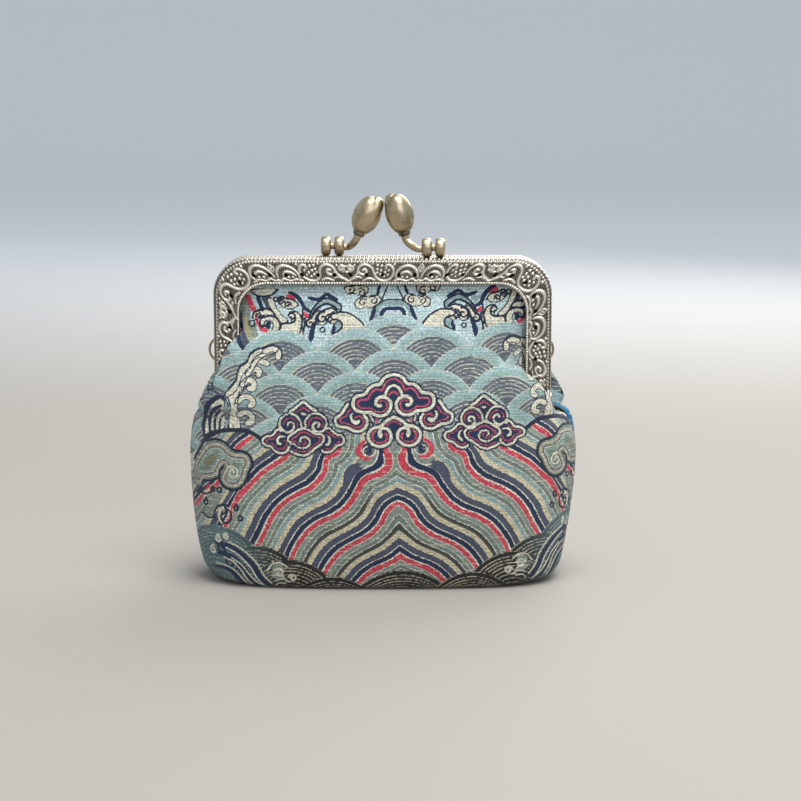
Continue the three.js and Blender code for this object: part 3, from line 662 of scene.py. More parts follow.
cloudCream = [
    stroke(1.05, headBand), stroke(0.95, sideBand), stroke(1, lowBand),
    stroke(0.9, [(-0.3, 52.9), (1.1, 52.3), (1.75, 51.3), (2.1, 50.4)]),
    stroke(0, [
        (10.1, 46.1, 0.5), (10.65, 45.5, 0.8), (10.6, 44.6, 0.9), (10.1, 43.9, 1.1), (9.3, 43.6, 1.3),
        (8.7, 44, 0.9),
    ]),
    stroke(0, [(3.2, 42, 0.8), (3.6, 41.2, 1.2), (3.5, 40.5, 1.4), (3.4, 40, 1.1)]),
    stroke(0.65, [(6.1, 45.5), (5.5, 44.8), (5.1, 43.7)]),
    stroke(0.78, farLeft), stroke(0.78, farRight), stroke(0.9, farRoof), stroke(0.8, farEye[2:]),
    stroke(0.78, farLeftLobe), stroke(0.78, farRightLobe), stroke(0.8, farBase),
    stroke(0, [(21.7, 46.15, 0.2), (22.6, 46.2, 0.9), (23.5, 46.15, 0.2)]),
    stroke(0.7, [
        (25.8, 38.9), (24.9, 38.5), (24.1, 37.9), (23.1, 37.6), (22, 37.8), (21.2, 38.5), (21.1, 39.4),
        (21.6, 40.1), (22.5, 40.4), (23.3, 40.1), (23.6, 39.5), (23.2, 39.1),
    ]),
    stroke(0, [
        (16.9, 40.9, 0.4), (16.2, 40.1, 0.7), (16.1, 39.1, 0.8), (16.7, 38.4, 0.9), (17.1, 38.3, 0.6),
    ]),
    stroke(0, [
        (27.2, 40.4, 0.5), (28.4, 40.6, 0.8), (29.2, 39.9, 0.9), (29.1, 39, 1), (28.4, 38.7, 0.8),
    ]),
]
cloudPink = [
    stroke(0.52, [
        (-0.3, 54.65), (1.1, 54.1), (2.1, 53.3), (2.5, 52.4), (2.85, 51.6), (3.4, 51.7), (4.1, 52),
        (5, 51.6), (5.7, 50.8), (6.1, 49.9), (6.4, 49.4), (7.3, 49.4), (8.3, 49.3), (8.9, 48.8),
        (8.95, 48.1), (8.5, 47.5), (7.5, 47.2), (6.5, 47.2), (5.7, 47.2), (5.2, 46.7), (4.4, 46.25),
        (3.3, 46.05), (2.35, 46.3), (1.8, 46.9), (1.6, 48), (1.9, 48.8), (2.6, 49.15), (3.25, 49),
        (3.4, 48.6),
    ]),
    stroke(0.5, [(-0.3, 51.2), (0.8, 50.8), (1.25, 50.2)]),
    stroke(0.48, [
        (10.8, 47), (11.4, 46.3), (11.9, 45.4), (12.6, 45.1), (13.5, 44.6), (13.3, 43.9), (12.3, 43.6),
        (11.3, 43.3), (10.6, 42.9), (9.5, 42.5), (8.3, 42.6), (7.6, 43.2), (7.5, 44.2), (7.9, 44.9),
        (8.7, 45.25), (9.4, 45.1), (9.7, 44.75),
    ]),
    stroke(0.5, [(-0.3, 43.9), (0.9, 43.5), (1.7, 42.9), (2.1, 42.4)]),
    stroke(0.62, [
        (4.3, 41.8), (5, 41.2), (5.45, 40.4), (5.4, 39.3), (4.7, 38.6), (3.7, 38.4), (2.6, 38.6),
        (1.9, 39.2), (1.7, 40), (2.1, 40.7),
    ]),
    stroke(0.45, [(4.2, 44.7), (4.4, 44), (4.1, 43.3)]),
    stroke(0.36, [
        (21.4, 43), (21.2, 44), (20.5, 44.9), (19.6, 45.15), (18.5, 45), (17.8, 44.4), (17.6, 43.4),
        (17.8, 42.8),
    ]),
    stroke(0.36, [
        (24.2, 43), (24.2, 43.9), (24.8, 44.7), (25.6, 45.15), (26.5, 45.1), (27.3, 44.4), (27.7, 43.5),
        (27.2, 42.7),
    ]),
    stroke(0.42, [
        (20.4, 46.7), (21.4, 46.95), (22.2, 47.5), (22.6, 47.8), (23.3, 47.2), (24, 46.8), (24.8, 46.5),
    ]),
    stroke(0.42, [
        (22.5, 39.6), (22.1, 39.2), (22.4, 38.6), (23, 38.5), (24, 38.8), (24.8, 39.3), (25.5, 39.5),
        (25.3, 40), (24.5, 40.5), (23.8, 41.1), (22.9, 41.6), (22.1, 41.5), (21.3, 41.1), (20.5, 40.65),
        (19.4, 40.5), (18.5, 40.1), (18.5, 39.4), (19.2, 38.7), (20, 38.3), (20.8, 37.7), (21.3, 37.1),
        (21.9, 36.8), (23, 36.6), (24.2, 36.85), (25.4, 37.3),
    ]),
    stroke(0.4, [
        (17.2, 41.5), (16.3, 41.4), (15.6, 40.7), (14.7, 40.3), (13.8, 40.1), (13.3, 39.6), (13.4, 39.1),
        (14.3, 38.8), (15, 38.2), (15.8, 37.5), (16.8, 37.2), (17.6, 37.5),
    ]),
    stroke(0.4, [
        (28.4, 41.3), (29.2, 41), (29.8, 40.4), (30.5, 39.95), (31.6, 39.9), (32.1, 39.4), (31.6, 38.9),
        (30.6, 38.8), (29.9, 38.3), (29.4, 37.6), (28.5, 37.4), (27.4, 37.8), (26.9, 38.6), (27, 39.4),
        (27.7, 39.6),
    ]),
]
cloudFill = [
    headBand[:22] + [(0, 48), (-0.3, 48)],
    sideBand + [(9.5, 46.5), (10.5, 47.6)],
    lowBand[:14] + [(-0.3, 40)],
    farLeft[:12] + [(22.1, 42.6)], farRight[:12] + [(23, 42.6)],
    farRoof + [(24, 45), (22.6, 44.2), (21.2, 45)],
    farEye[2:] + farBase[::-1], farLeftLobe + [(18.2, 39.4), (17.6, 40.8)],
    farRightLobe + [(26.2, 40), (27.2, 41.4)],
    [(22, 43), (22.6, 46), (23.2, 43)],
]
print("purse: cloud heads charted")

# The coloured waves: pink crests, each with its widths, nested from the foot up
crests = [
    [
        (-1.2, 10.6, 1.2), (0, 9.75, 1.3), (1, 9, 1.3), (2.2, 8.25, 1.2), (4.5, 7.25, 1.2),
        (6.8, 6.25, 1.3), (8.8, 4.8, 1.3), (10.2, 3.3, 1.2), (11.2, 2.2, 1.2), (18, -6, 1.2),
    ],
    [
        (-1.2, 23.7, 0.9), (0, 23.2, 1), (0.8, 22.9, 1.1), (1.8, 22.2, 1.1), (3.1, 20.8, 1.2),
        (4.3, 18.5, 1.2), (5.9, 16.6, 1.2), (8.4, 14.8, 1.2), (11, 13.5, 1.1), (13.6, 12.1, 1.1),
        (15.9, 10.2, 1.1), (17.8, 7.9, 1.1), (19.2, 5.6, 1.1), (20.2, 3.4, 1.1), (24, -6, 1.1),
    ],
    [
        (2.4, 44, 1.4), (2.5, 38.6, 1.2), (2.45, 36.9, 1.4), (1.6, 34.8, 1.8), (1.9, 32.7, 1.9),
        (3.4, 31.2, 1.7), (5.3, 30.4, 1.3), (7.2, 29.8, 1.5), (8.6, 28.7, 1.6), (9.5, 27.3, 1.5),
        (10.8, 25.2, 1.4), (12.4, 23.1, 1.3), (14.6, 21.3, 1.2), (17.1, 20, 1.1), (19.8, 18.9, 1.2),
        (22.5, 17, 1.2), (24.7, 14.4, 1.1), (26.5, 11.5, 1.1), (27.4, 9, 1.1), (31, -3, 1.1),
    ],
    [
        (12.6, 43, 1.2), (13.4, 38.6, 1.2), (14.3, 36.5, 1.5), (16.2, 35.6, 1.4), (17.3, 34.2, 1.3),
        (17.7, 32, 1.2), (19, 30, 1.3), (21.1, 28, 1.3), (24.4, 26.35, 1.2), (27.3, 24.8, 1.2),
        (29.8, 22.8, 1.2), (31.8, 20.1, 1.2), (33.3, 17.3, 1.1), (34.7, 14.7, 1.1), (36, 12.6, 1.1),
        (41, 4, 1.1),
    ],
    [
        (22, 41, 1.2), (26.2, 36.5, 1.1), (28.4, 34.8, 1.2), (31.2, 33.1, 1.2), (33.8, 31.4, 1.2),
        (35.8, 29.5, 1.2), (37.7, 27.8, 1.4), (39.5, 26.2, 1.6), (40.9, 24.3, 1.4), (42.2, 22.4, 0.9),
        (42.7, 20.4, 0.8), (43.7, 18.7, 1), (47, 12, 1),
    ],
    [
        (33, 43.5, 1.1), (36, 40.45, 1), (38, 39.1, 1.3), (39.8, 37.7, 1.3), (42.6, 34, 1.2),
        (46.5, 28.2, 1.2), (50.5, 25.5, 1.2), (56, 22, 1.2),
    ],
]
waveRoof = blob([
    (-6, -20), (-6, 41), (3, 41.5), (8, 42), (12, 40.6), (16, 39.5), (23, 39.5), (29, 40), (33, 39.8),
    (35, 41.2), (37, 42), (39.6, 42.3), (42.6, 42.2), (45.2, 41.7), (47.4, 40.8), (49.2, 39.8),
    (52, 37), (70, 28), (70, -20),
])
mounds = [  # middle across, middle up, radius, back to front
    (47.8, 2.6, 15.4), (36.4, 0.6, 12.6), (28.2, -3.6, 13.1), (0, -9, 15), (17.6, -6.7, 11.5),
]
moundLines = [0.15, 1.35, 2.2, 3, 3.9, 4.9, 6, 7.2, 8.5, 9.8, 11.2]

# Plain inks, laid in this order over the ground, the scales and the waves
ink = {word: [] for word in ("teal", "slate", "sage", "cream", "navy", "pink", "thread", "line", "gold")}
fill = {word: [] for word in ink}

# Top band: arches, small clouds, crests of foam, and the striped rock between them
ink["navy"] += [
    stroke(0, [(4.5, 73.3, 0.8), (4.9, 71.8, 1.1), (5.5, 70.2, 0.9), (6, 69.3, 0.4)]),
    stroke(0, [(-0.3, 72.7, 1), (1.9, 72.6, 1), (2.6, 72, 1.1), (2.9, 70.9, 1.1)]),
    stroke(0.7, [(3.2, 78.6), (3.8, 76.6)]),
    stroke(0, [
        (14.1, 75.4, 0.9), (15.5, 76.4, 1), (16.7, 77, 0.8), (18.4, 75.7, 1), (20.3, 76, 1),
        (21.4, 76.4, 0.5),
    ]),
    stroke(0, [
        (25.8, 77.6, 1.1), (24, 76.6, 1.2), (23, 75.1, 1.1), (22.2, 73.5, 1.1), (21, 72.7, 0.9),
    ]),
    stroke(0, [
        (18.9, 70.9, 0.3), (19.8, 69.2, 1), (20.4, 67.4, 1.3), (20.7, 65.6, 1.3), (20.7, 64.6, 0.4),
    ]),
    stroke(0, [(14.9, 68.9, 0.5), (15, 67.9, 1), (15.2, 66.7, 0.9)]),
    stroke(1.1, [(34, 76.8), (33.5, 75), (33, 73.4)]),
    stroke(0, [(31.2, 69.9, 0.9), (31.6, 69.2, 1.5), (31.5, 68.7, 1.2)]),
]
fill["cream"] += [
    blob([
        (2.9, 75.4), (3.7, 76.3), (5.2, 76.4), (6, 75.8), (6.9, 76.2), (8.4, 75.7), (9.5, 74.6),
        (9.2, 73.3), (8.1, 72.9), (6.9, 73.3), (5.4, 73.1), (4.2, 73.6), (3.2, 74.4),
    ]),
    blob([(6.3, 78.6), (6.2, 77.4), (6.9, 76.5), (8.2, 76.3), (9.6, 77), (11.4, 77), (12, 78.6)]),
    blob([
        (7.2, 68), (8, 69.3), (9.4, 70.7), (11.2, 71.8), (12.9, 72.1), (14.4, 71.9), (15.7, 71.3),
        (16.4, 70.3), (15.9, 69.4), (14.9, 69.2), (13.6, 70.1), (12.8, 69), (12.9, 67.4), (11.6, 66.6),
        (9, 66.6),
    ]),
    blob([
        (14, 72.8), (15.6, 73.2), (17.2, 72.8), (18.6, 71.8), (19.2, 70.4), (18.6, 69.2), (17.6, 68.9),
        (16.7, 69.6), (17, 70.8), (16.2, 71.6), (15.2, 72.2),
    ]),
    blob([
        (18.3, 72.9), (19.6, 72.2), (20.6, 70.8), (21.6, 70.4), (22, 69.2), (21.2, 68.4), (20.2, 69),
        (18.8, 69.2), (18.9, 70.6),
    ]),
    blob([
        (22.7, 66), (22.9, 68.6), (23, 70.6), (23.5, 71.9), (24.4, 72.6), (25.6, 72.5), (26.3, 71.6),
        (25.6, 70.7), (25.6, 69.9), (27, 69.6), (28.3, 69.2), (28.6, 67.6), (26, 66),
    ]),
    blob([
        (26.4, 70.2), (27.8, 71.6), (29.2, 73.6), (30.4, 76.4), (31.6, 76.2), (30.6, 73.2), (29.2, 71),
        (28, 69.8),
    ]),
    blob([
        (28.5, 68.2), (28.7, 70), (29.9, 71.2), (31.6, 71.5), (33.2, 71), (33.9, 69.6), (33.3, 68.6),
        (32.6, 69.4), (32.4, 70.2), (31, 70.4), (30.2, 69.2), (30.6, 67.8),
    ]),
    blob([
        (29.9, 71.9), (30.6, 72.9), (32, 73.4), (33.8, 73.2), (35.2, 72.4), (35.5, 71.2), (34.6, 70.6),
        (33.6, 71.4), (32.4, 71.9),
    ]),
    blob([
        (23.9, 74.4), (24.8, 75.6), (26.4, 76), (28, 76.6), (29, 75.6), (28.4, 74.6), (27, 73.6),
        (25.4, 73.4),
    ]),
    blob([(29, 78.6), (30.4, 77.4), (32.4, 77), (34.4, 77.4), (35.8, 78.6)]),
]
fill["teal"] += [
    blob([
        (13.2, 72.3), (13, 74), (14, 74.8), (15.5, 75.6), (16.5, 75.9), (18, 75.4), (19.5, 74),
        (20.5, 72.5), (20.9, 70.6), (20.2, 70.4), (19.6, 72.2), (17.9, 73.9), (16.7, 74.4), (15.2, 73.9),
        (14, 72.9),
    ]),
    blob([(20.9, 73.6), (22.2, 74.6), (22.9, 75.8), (21, 75.3), (19.6, 75)]),
    blob([
        (0, 73.5), (2.6, 73.4), (3.7, 71.8), (3.9, 70.4), (4.7, 70), (4.5, 72), (3.6, 74),
        (1.8, 74.9), (0, 75),
    ]),
    blob([(13.6, 70), (14.6, 69.9), (14.8, 68.8), (14.3, 67.3), (13.4, 67.4), (13, 68.6)]),
]
fill["slate"] += [blob([(31.2, 76.6), (33.2, 76.8), (32.4, 74.9), (31.8, 73.4), (30.6, 73.2)])]
ink["pink"] += [
    stroke(0, [(21.4, 71.3, 1), (22.3, 71.9, 1.3)]), stroke(1.2, [(25.1, 76.1), (26.3, 76.9)]),
    stroke(1.5, [(36.6, 76.8), (35.9, 75), (35.3, 73.6)]),
    stroke(0, [
        (34.8, 72, 0.6), (34.5, 70.6, 0.8), (33.7, 68.9, 1), (32.6, 68, 1.2), (31.8, 67.8, 0.9),
    ]),
]
ink["line"] += [
    stroke(0.3, [(-0.3, 75.15), (1.9, 74.95), (3.3, 74.2), (4.3, 73.4)]),
    stroke(0.3, [(1.2, 78.6), (1.9, 77), (2.4, 75.8), (2.6, 75)]),
    curl(0.26, 4.8, 74.9, 1.15, 0.25, 60, 420), curl(0.26, 7.5, 74.5, 1.15, 0.25, 150, -420),
    curl(0.26, 7.8, 77.2, 1.15, 0.25, 60, 420), curl(0.26, 10.4, 77.9, 1.1, 0.25, 60, 400),
    stroke(0.38, [
        (7.1, 67.9), (7.9, 69.3), (9.4, 70.8), (11.2, 71.9), (12.9, 72.2), (14.4, 72), (15.8, 71.3),
        (16.5, 70.3),
    ]),
    stroke(0.4, [(15.1, 70.3), (13.9, 70.25), (13, 69.4), (12.9, 68.25), (13.7, 67.3), (15.1, 66.7)]),
    curl(0.34, 15.9, 70.6, 1.2, 0.3, 70, -330), curl(0.36, 17.7, 70.8, 1.5, 0.3, 110, -420),
    curl(0.34, 20.8, 69.4, 1.2, 0.25, 100, -420),
    stroke(0.34, [(14.3, 72.9), (15.8, 73.3), (17.4, 72.9), (18.9, 71.8), (19.6, 70.4)]),
    stroke(0.4, [
        (13.2, 72.3), (13, 74), (14, 74.8), (15.5, 75.6), (16.5, 76), (18, 75.5), (19.5, 74.1),
        (20.6, 72.5), (21.2, 70.7),
    ]),
    stroke(0.5, [(14, 72.9), (15.3, 74), (16.7, 74.5), (18, 74), (19.5, 72.9), (20.4, 71.3)]),
    stroke(0.34, [(22.2, 71), (22.3, 69), (22.8, 66.2)]),
    stroke(0.34, [(22.7, 73.2), (22.8, 70.6), (23.2, 68.2), (23.8, 66.2)]),
    stroke(0.36, [(23.1, 71), (23.6, 72), (24.5, 72.7), (25.7, 72.6), (26.4, 71.7)]),
    curl(0.36, 25.4, 71.3, 1.1, 0.3, 30, 330),
    stroke(0.36, [(24.5, 71), (24.9, 70), (25.8, 69.6), (27.2, 69.6), (28.2, 69.3), (28.4, 68)]),
    stroke(0.36, [(28.4, 68.4), (28.7, 70.1), (29.9, 71.3), (31.6, 71.6), (33.2, 71.1)]),
    curl(0.36, 32.3, 69.9, 1.6, 0.5, 60, -250),
    stroke(0.36, [(29.7, 71.9), (30.5, 73), (32, 73.6), (33.8, 73.4), (35.3, 72.5), (35.6, 71.1)]),
    curl(0.34, 34.2, 72, 0.9, 0.2, 60, 400), curl(0.3, 26.5, 74.5, 0.9, 0.2, 200, -450),
    curl(0.3, 28, 75.4, 0.8, 0.2, 200, -450),
    stroke(0.32, [(23.6, 74.2), (24.7, 75.7), (26.4, 76.2), (28.2, 76.8), (29.2, 75.7)]),
    curl(0.3, 17.8, 67.7, 0.6, 0.6, 0, 360), curl(0.3, 29.4, 76.1, 0.55, 0.55, 0, 360),
    curl(0.34, 35.8, 69.7, 0.8, 0.8, 0, 360),
    stroke(0.4, [(28.9, 78.6), (30.3, 77.4), (32.4, 76.9), (34.5, 77.3), (35.9, 78.4)]),
]
# Upper foam at the sides: a long wave with curls along its inner edge
fill["cream"] += [
    blob([
        (42, 42.2), (41.8, 45.6), (41.3, 47.9), (41.8, 50.3), (42.6, 51.4), (41, 53.2), (39.6, 54.9),
        (39.1, 57), (38.4, 58.7), (36.9, 59.6), (35.8, 61.8), (34.4, 62.9), (32.2, 63.4), (30.3, 63.9),
        (28.9, 63.2), (29.5, 62.2), (31.1, 61.6), (32.5, 61.1), (33.9, 60), (35, 58.1), (36.1, 56.4),
        (37.2, 54.9), (37.7, 52.9), (39.1, 50.3), (39.5, 47.9), (39.3, 45), (39, 42.2),
    ]),
    blob([
        (43.6, 42.4), (43.4, 46.8), (42.9, 49.4), (44.8, 50.6), (48.4, 48.2), (50.8, 44.5), (50.4, 40.4),
        (47, 41.6),
    ]),
]
ink["navy"] += [
    stroke(0.4, [
        (42.9, 51), (41.2, 53.4), (39.8, 55.1), (39.3, 57.1), (38.6, 58.9), (37.1, 59.8), (36, 62),
        (34.5, 63.1), (32.3, 63.6), (30.3, 64.2), (28.5, 63.5), (27.9, 62), (28.2, 60.4),
    ]),
    stroke(0.34, [(42.4, 42.2), (42.2, 45.6), (41.7, 47.9), (42.4, 50.2)]),
    stroke(0.32, [
        (41.8, 50.7), (39.9, 52), (38.8, 54.1), (38.3, 55.8), (37.2, 57.3), (36.1, 58.7), (35, 60.8),
        (33.6, 61.7), (31.7, 62.6), (29.8, 62.7),
    ]),
    stroke(0.32, [
        (40.9, 42.2), (41.1, 45.6), (40.4, 48.5), (39.2, 50.9), (38.2, 52.9), (37.4, 54.8), (36.1, 56.8),
        (35.1, 58.4),
    ]),
    stroke(0.34, [(38.8, 42.2), (39.1, 45), (39.3, 47.9), (38.9, 50)]),
    stroke(0, [
        (49.9, 40.3, 1), (50.2, 43.6, 1.4), (48.6, 47.2, 1.5), (46.2, 49.6, 1.4), (43.6, 50.7, 1),
        (42.9, 49.8, 0.6),
    ]),
    stroke(0, [(47.9, 41.5, 0.8), (48, 44.8, 1.1), (46.3, 47, 1.1), (43.8, 48.4, 0.8)]),
    stroke(0, [(46.3, 42, 0.7), (46.2, 44.9, 0.9), (45, 46.4, 0.9), (43.4, 47.1, 0.6)]),
    stroke(0.7, [(44.9, 42.2), (44.7, 44.4), (43.8, 45.6)]),
]
foamHooks = [
    [(32.2, 62.5), (30.3, 63.1), (28.9, 62.2), (28.9, 60.9)],
    [(35.2, 58.9), (33.8, 60.2), (32.6, 59.7), (31.7, 59.3)],
    [(36.5, 56.6), (34.9, 58), (33.7, 57.5), (33.8, 56.5)],
    [(37.9, 53.9), (36.4, 55.2), (35.1, 54.3), (35.2, 52.8), (36.2, 52.9)],
    [(39.2, 49.6), (37.4, 50.8), (35.8, 50.3), (35.3, 48.9), (36.1, 48.4)],
    [(39.2, 45.9), (37.4, 46.7), (35.9, 45.9), (35.8, 44.3), (37, 43.9)],
]
for path in foamHooks:
    ink["navy"].append(stroke(1.76, path))
    ink["thread"].append(stroke(1.14, path))
ink["line"] += [
    curl(0.34, 47, 53.6, 1.3, 0.3, 200, 400),
    stroke(0.34, [(44.6, 51.4), (46, 53), (46.2, 55.4), (45, 57.4), (44.2, 59.6)]),
    stroke(0.34, [(47.4, 51.6), (48.6, 53.6), (48.4, 56), (47.2, 57.6)]),
    curl(0.34, 50.4, 50.6, 1.2, 0.3, 160, 380),
]
# The great curl at each side, banded by the distance in from its edge
swirl = blob([
    (36.2, 34.2), (36.4, 35.4), (37.4, 36.4), (38.9, 36.9), (40.6, 36.9), (41.9, 37.5), (43.2, 38.6),
    (45, 39.3), (47, 39.3), (49, 38.7), (51.5, 36.5), (54.5, 33), (56, 28), (51.7, 27.5),
    (50.8, 28.8), (48.2, 29.2), (45.6, 30.1), (44.6, 31.8), (43.9, 32.9), (45.2, 31), (45.2, 29),
    (44.3, 27.9), (42.6, 27.2), (40.8, 27.2), (39.3, 27.9), (38.2, 29.2), (37.5, 30.5), (37.1, 31.8),
    (36.3, 33),
])
ink["thread"] += [curl(0.3, 41.6, 31.4, 1.7, 0.4, 60, 500)]
ink["line"] += [
    stroke(0, [
        (33, 39.6, 0.9), (35, 41, 0.9), (36.9, 41.8, 0.95), (39.6, 42.1, 0.95), (42.6, 42, 0.9),
        (45.2, 41.5, 0.9), (47.4, 40.6, 0.9), (49.2, 39.6, 0.9), (51.6, 37, 0.8), (54.6, 34, 0.8),
    ]),
    stroke(0.5, [
        (39.7, 37), (41, 37.2), (42, 37.8), (43.2, 38.8), (45, 39.5), (47, 39.5), (49, 39),
    ]),
    stroke(0.6, [
        (40.4, 36.9), (38.9, 36.9), (37.4, 36.4), (36.4, 35.4), (36.1, 34.2), (36.2, 33.2), (37, 31.8),
        (37.5, 30.5), (38.2, 29.2), (39.3, 27.9), (40.8, 27.2), (42.6, 27.2), (44.3, 27.9), (45.3, 29),
        (45.5, 30.4), (45.2, 31.8), (44.3, 32.8),
    ]),
    stroke(0.5, [(45.6, 30.1), (48.2, 29.1), (50.8, 28.8), (51.7, 27.4), (54, 25.6)]),
    curl(0.38, 45.7, 26.9, 0.65, 0.65, 0, 360), curl(0.38, 47.7, 26.9, 0.75, 0.3, 0, 400),
    curl(0.38, 40, 20, 0.65, 0.65, 0, 360),
    curl(0.45, 44.4, 20.2, 2.3, 0.5, 90, 430),
    stroke(0.4, [(43, 23), (45.4, 23.2), (47.4, 21.6), (47.7, 19.6)]),
    stroke(0.4, [(47.6, 20), (49.6, 19.6), (52, 20.6)]), curl(0.4, 41.2, 22.6, 0.9, 0.3, 90, 360),
    stroke(0.4, [(48.2, 26.2), (50.2, 25.6), (52.4, 25.8)]), curl(0.4, 50.6, 23.6, 1.1, 0.3, 90, 400),
]
fill["sage"] += [
    blob([(45, 25.6), (47.2, 26), (49.6, 23), (51.8, 20.2), (49.6, 19.8), (47.6, 20.6), (46.4, 22.8)])
]
ink["cream"] += [
    stroke(0.8, [(42.7, 21.4), (43.6, 22.5), (45.4, 22.1), (46.2, 20.4), (45.4, 18.8), (44, 18.8)]),
    stroke(0.6, [(43.9, 20.6), (44.6, 21), (45, 20.2)]),
    stroke(0.8, [(48.6, 27.4), (49.8, 26.2), (50.8, 24.8)]),
]
ink["pink"] += [
    stroke(0, [(48.5, 27.9, 0.5), (49.4, 27.5, 0.9), (50.1, 26.8, 0.6)]),
    stroke(0, [(42.3, 22.4, 0.5), (42.6, 20.4, 0.8), (43.6, 18.7, 0.9), (45, 18.3, 0.6)]),
]
# The curl that hangs from the middle clouds into the waves
ink["pink"] += [
    stroke(0, [
        (7.1, 39.2, 0.5), (8.2, 38.4, 1), (9, 37.2, 1.3), (9.1, 36.2, 1.4), (8.3, 35.1, 1.2),
        (7.1, 34.6, 0.9), (6, 35, 0.6),
    ])
]
ink["slate"] += [
    stroke(0, [(9.6, 32.6, 2.2), (11, 32, 2.4), (12, 30.8, 2.2), (12.6, 29.2, 1.6)]),
    stroke(0.7, [(5.4, 37.4), (6.4, 38.4), (7.4, 37.8)]),
]
ink["sage"] += [stroke(1.5, [(5, 37.4), (4.9, 36), (5.6, 34.4), (7.4, 33.6), (9.2, 33.9)])]
ink["navy"] += [
    stroke(0, [
        (3.5, 38, 0.8), (3.5, 36.2, 1.1), (4, 34.2, 1.1), (5, 32.7, 1), (6.6, 31.9, 0.9),
        (8.2, 31.5, 1), (9.3, 30.6, 1.3), (10.4, 29.2, 1.3),
    ]),
    curl(0.55, 6.9, 36.9, 1.2, 0.4, 60, -420),
]
ink["thread"] += [
    stroke(0.24, [(4.3, 38), (4.2, 36.2), (4.7, 34.6), (5.7, 33.2), (7.4, 32.6), (9, 32.8)]),
    curl(0.24, 6.7, 36.7, 1.9, 0.9, 180, 260),
]
# Waves and stones at the foot corners
ink["sage"] += [stroke(0, [(30.2, 8, 1.6), (31.2, 6.8, 2.6), (31, 5.4, 2.4), (29.6, 4.6, 1.2)])]
ink["navy"] += [
    stroke(0, [
        (33.6, 2.6, 1.3), (35.4, 4.6, 1.4), (36.6, 7, 1.4), (38.6, 9.4, 1.4), (41, 11.4, 1.4),
        (43.6, 12.8, 1.2), (47.6, 13.4, 0.8),
    ]),
    stroke(0, [
        (36.2, 2, 1.3), (38, 4.2, 1.4), (39.2, 6.6, 1.4), (41.2, 8.8, 1.4), (43.8, 10.4, 1.2),
        (47, 10.8, 0.8),
    ]),
    stroke(0, [(39.6, 1.6, 1.2), (41, 3.6, 1.4), (42.6, 5.6, 1.3), (45, 6.8, 0.9), (48.6, 7, 0.6)]),
    curl(0.7, 45.6, 11.9, 1.6, 0.4, 100, -400), curl(0.7, 43.4, 8.4, 1.5, 0.4, 100, -400),
    curl(0.6, 41, 6.3, 1.2, 0.3, 100, -380),
]
ink["thread"] += [
    stroke(0.3, [(34.8, 2.4), (36.4, 4.6), (37.6, 7), (39.6, 9.4), (42, 11.3), (44.6, 12.4)]),
    stroke(0.3, [(37.6, 2.2), (39.2, 4.4), (40.6, 6.8), (42.8, 8.8), (45.4, 9.8)]),
    stroke(0.3, [(32.6, 3), (34.6, 5.4), (35.8, 8), (37.8, 10.4), (40.4, 12.5), (44, 13.9)]),
    stroke(0.26, [(29, 6.4), (30.4, 7.2), (32, 6.8)]),
    stroke(0.26, [(29.4, 5), (30.8, 5.6), (32.4, 5.2)]),
    stroke(0.3, [(28.4, 7.6), (30.2, 8.7), (32.4, 8.2), (33.6, 6.6)]),
    stroke(0.3, [(28, 3.4), (29.6, 4.3), (31.6, 3.8)]),
    stroke(0.3, [(32, 1.4), (31, 3), (29, 3)]), curl(0.35, 30.6, 6, 1.3, 0.3, 20, 420),
    curl(0.35, 27.2, 4.6, 1.1, 0.3, 20, 420),
    curl(0.4, 46.6, 14.4, 1.1, 0.3, 100, -380), curl(0.4, 44.2, 15.2, 0.9, 0.3, 100, -380),
    curl(0.4, 48.6, 11.4, 1.2, 0.3, 100, -380),
    stroke(0.3, [(33.6, 1.4), (36.6, 3.4), (38.4, 5.6), (40.2, 8), (43, 9.8)]),
    stroke(0.3, [(38.6, 1.6), (40.2, 4), (42, 6.2), (44.8, 7.6), (48, 8)]),
]
# Stripes that come from behind the frame and go down behind the scales
behind = {
    "sage": [
        stroke(5, [(39.2, 77.5), (38.2, 73), (37.2, 69), (37.6, 64)]),
        stroke(1.6, [(35.3, 69), (34.8, 66.4), (33.6, 64.8)]),
    ],
    "gold": [stroke(0.9, [(37.5, 71.4), (37.1, 69), (36.2, 66.6), (34.9, 64.8)])],
    "slate": [stroke(1.5, [(39.6, 72.4), (38.9, 69.4), (37.9, 66.6), (36.6, 64), (35.2, 62)])],
    "navy": [stroke(1.3, [(41, 71.4), (40.1, 68.6), (39.2, 65.8), (37.9, 63.4), (36, 61)])],
    "pink": [stroke(1, [(41.6, 68.2), (40.9, 65.6), (39.8, 63.2), (38.2, 61.2)])],
    "thread": [stroke(0.24, [(38.7, 72), (38.1, 69.2), (37.1, 66.7), (35.8, 64.4)])],
}
print("purse: waves, foam and curls charted")


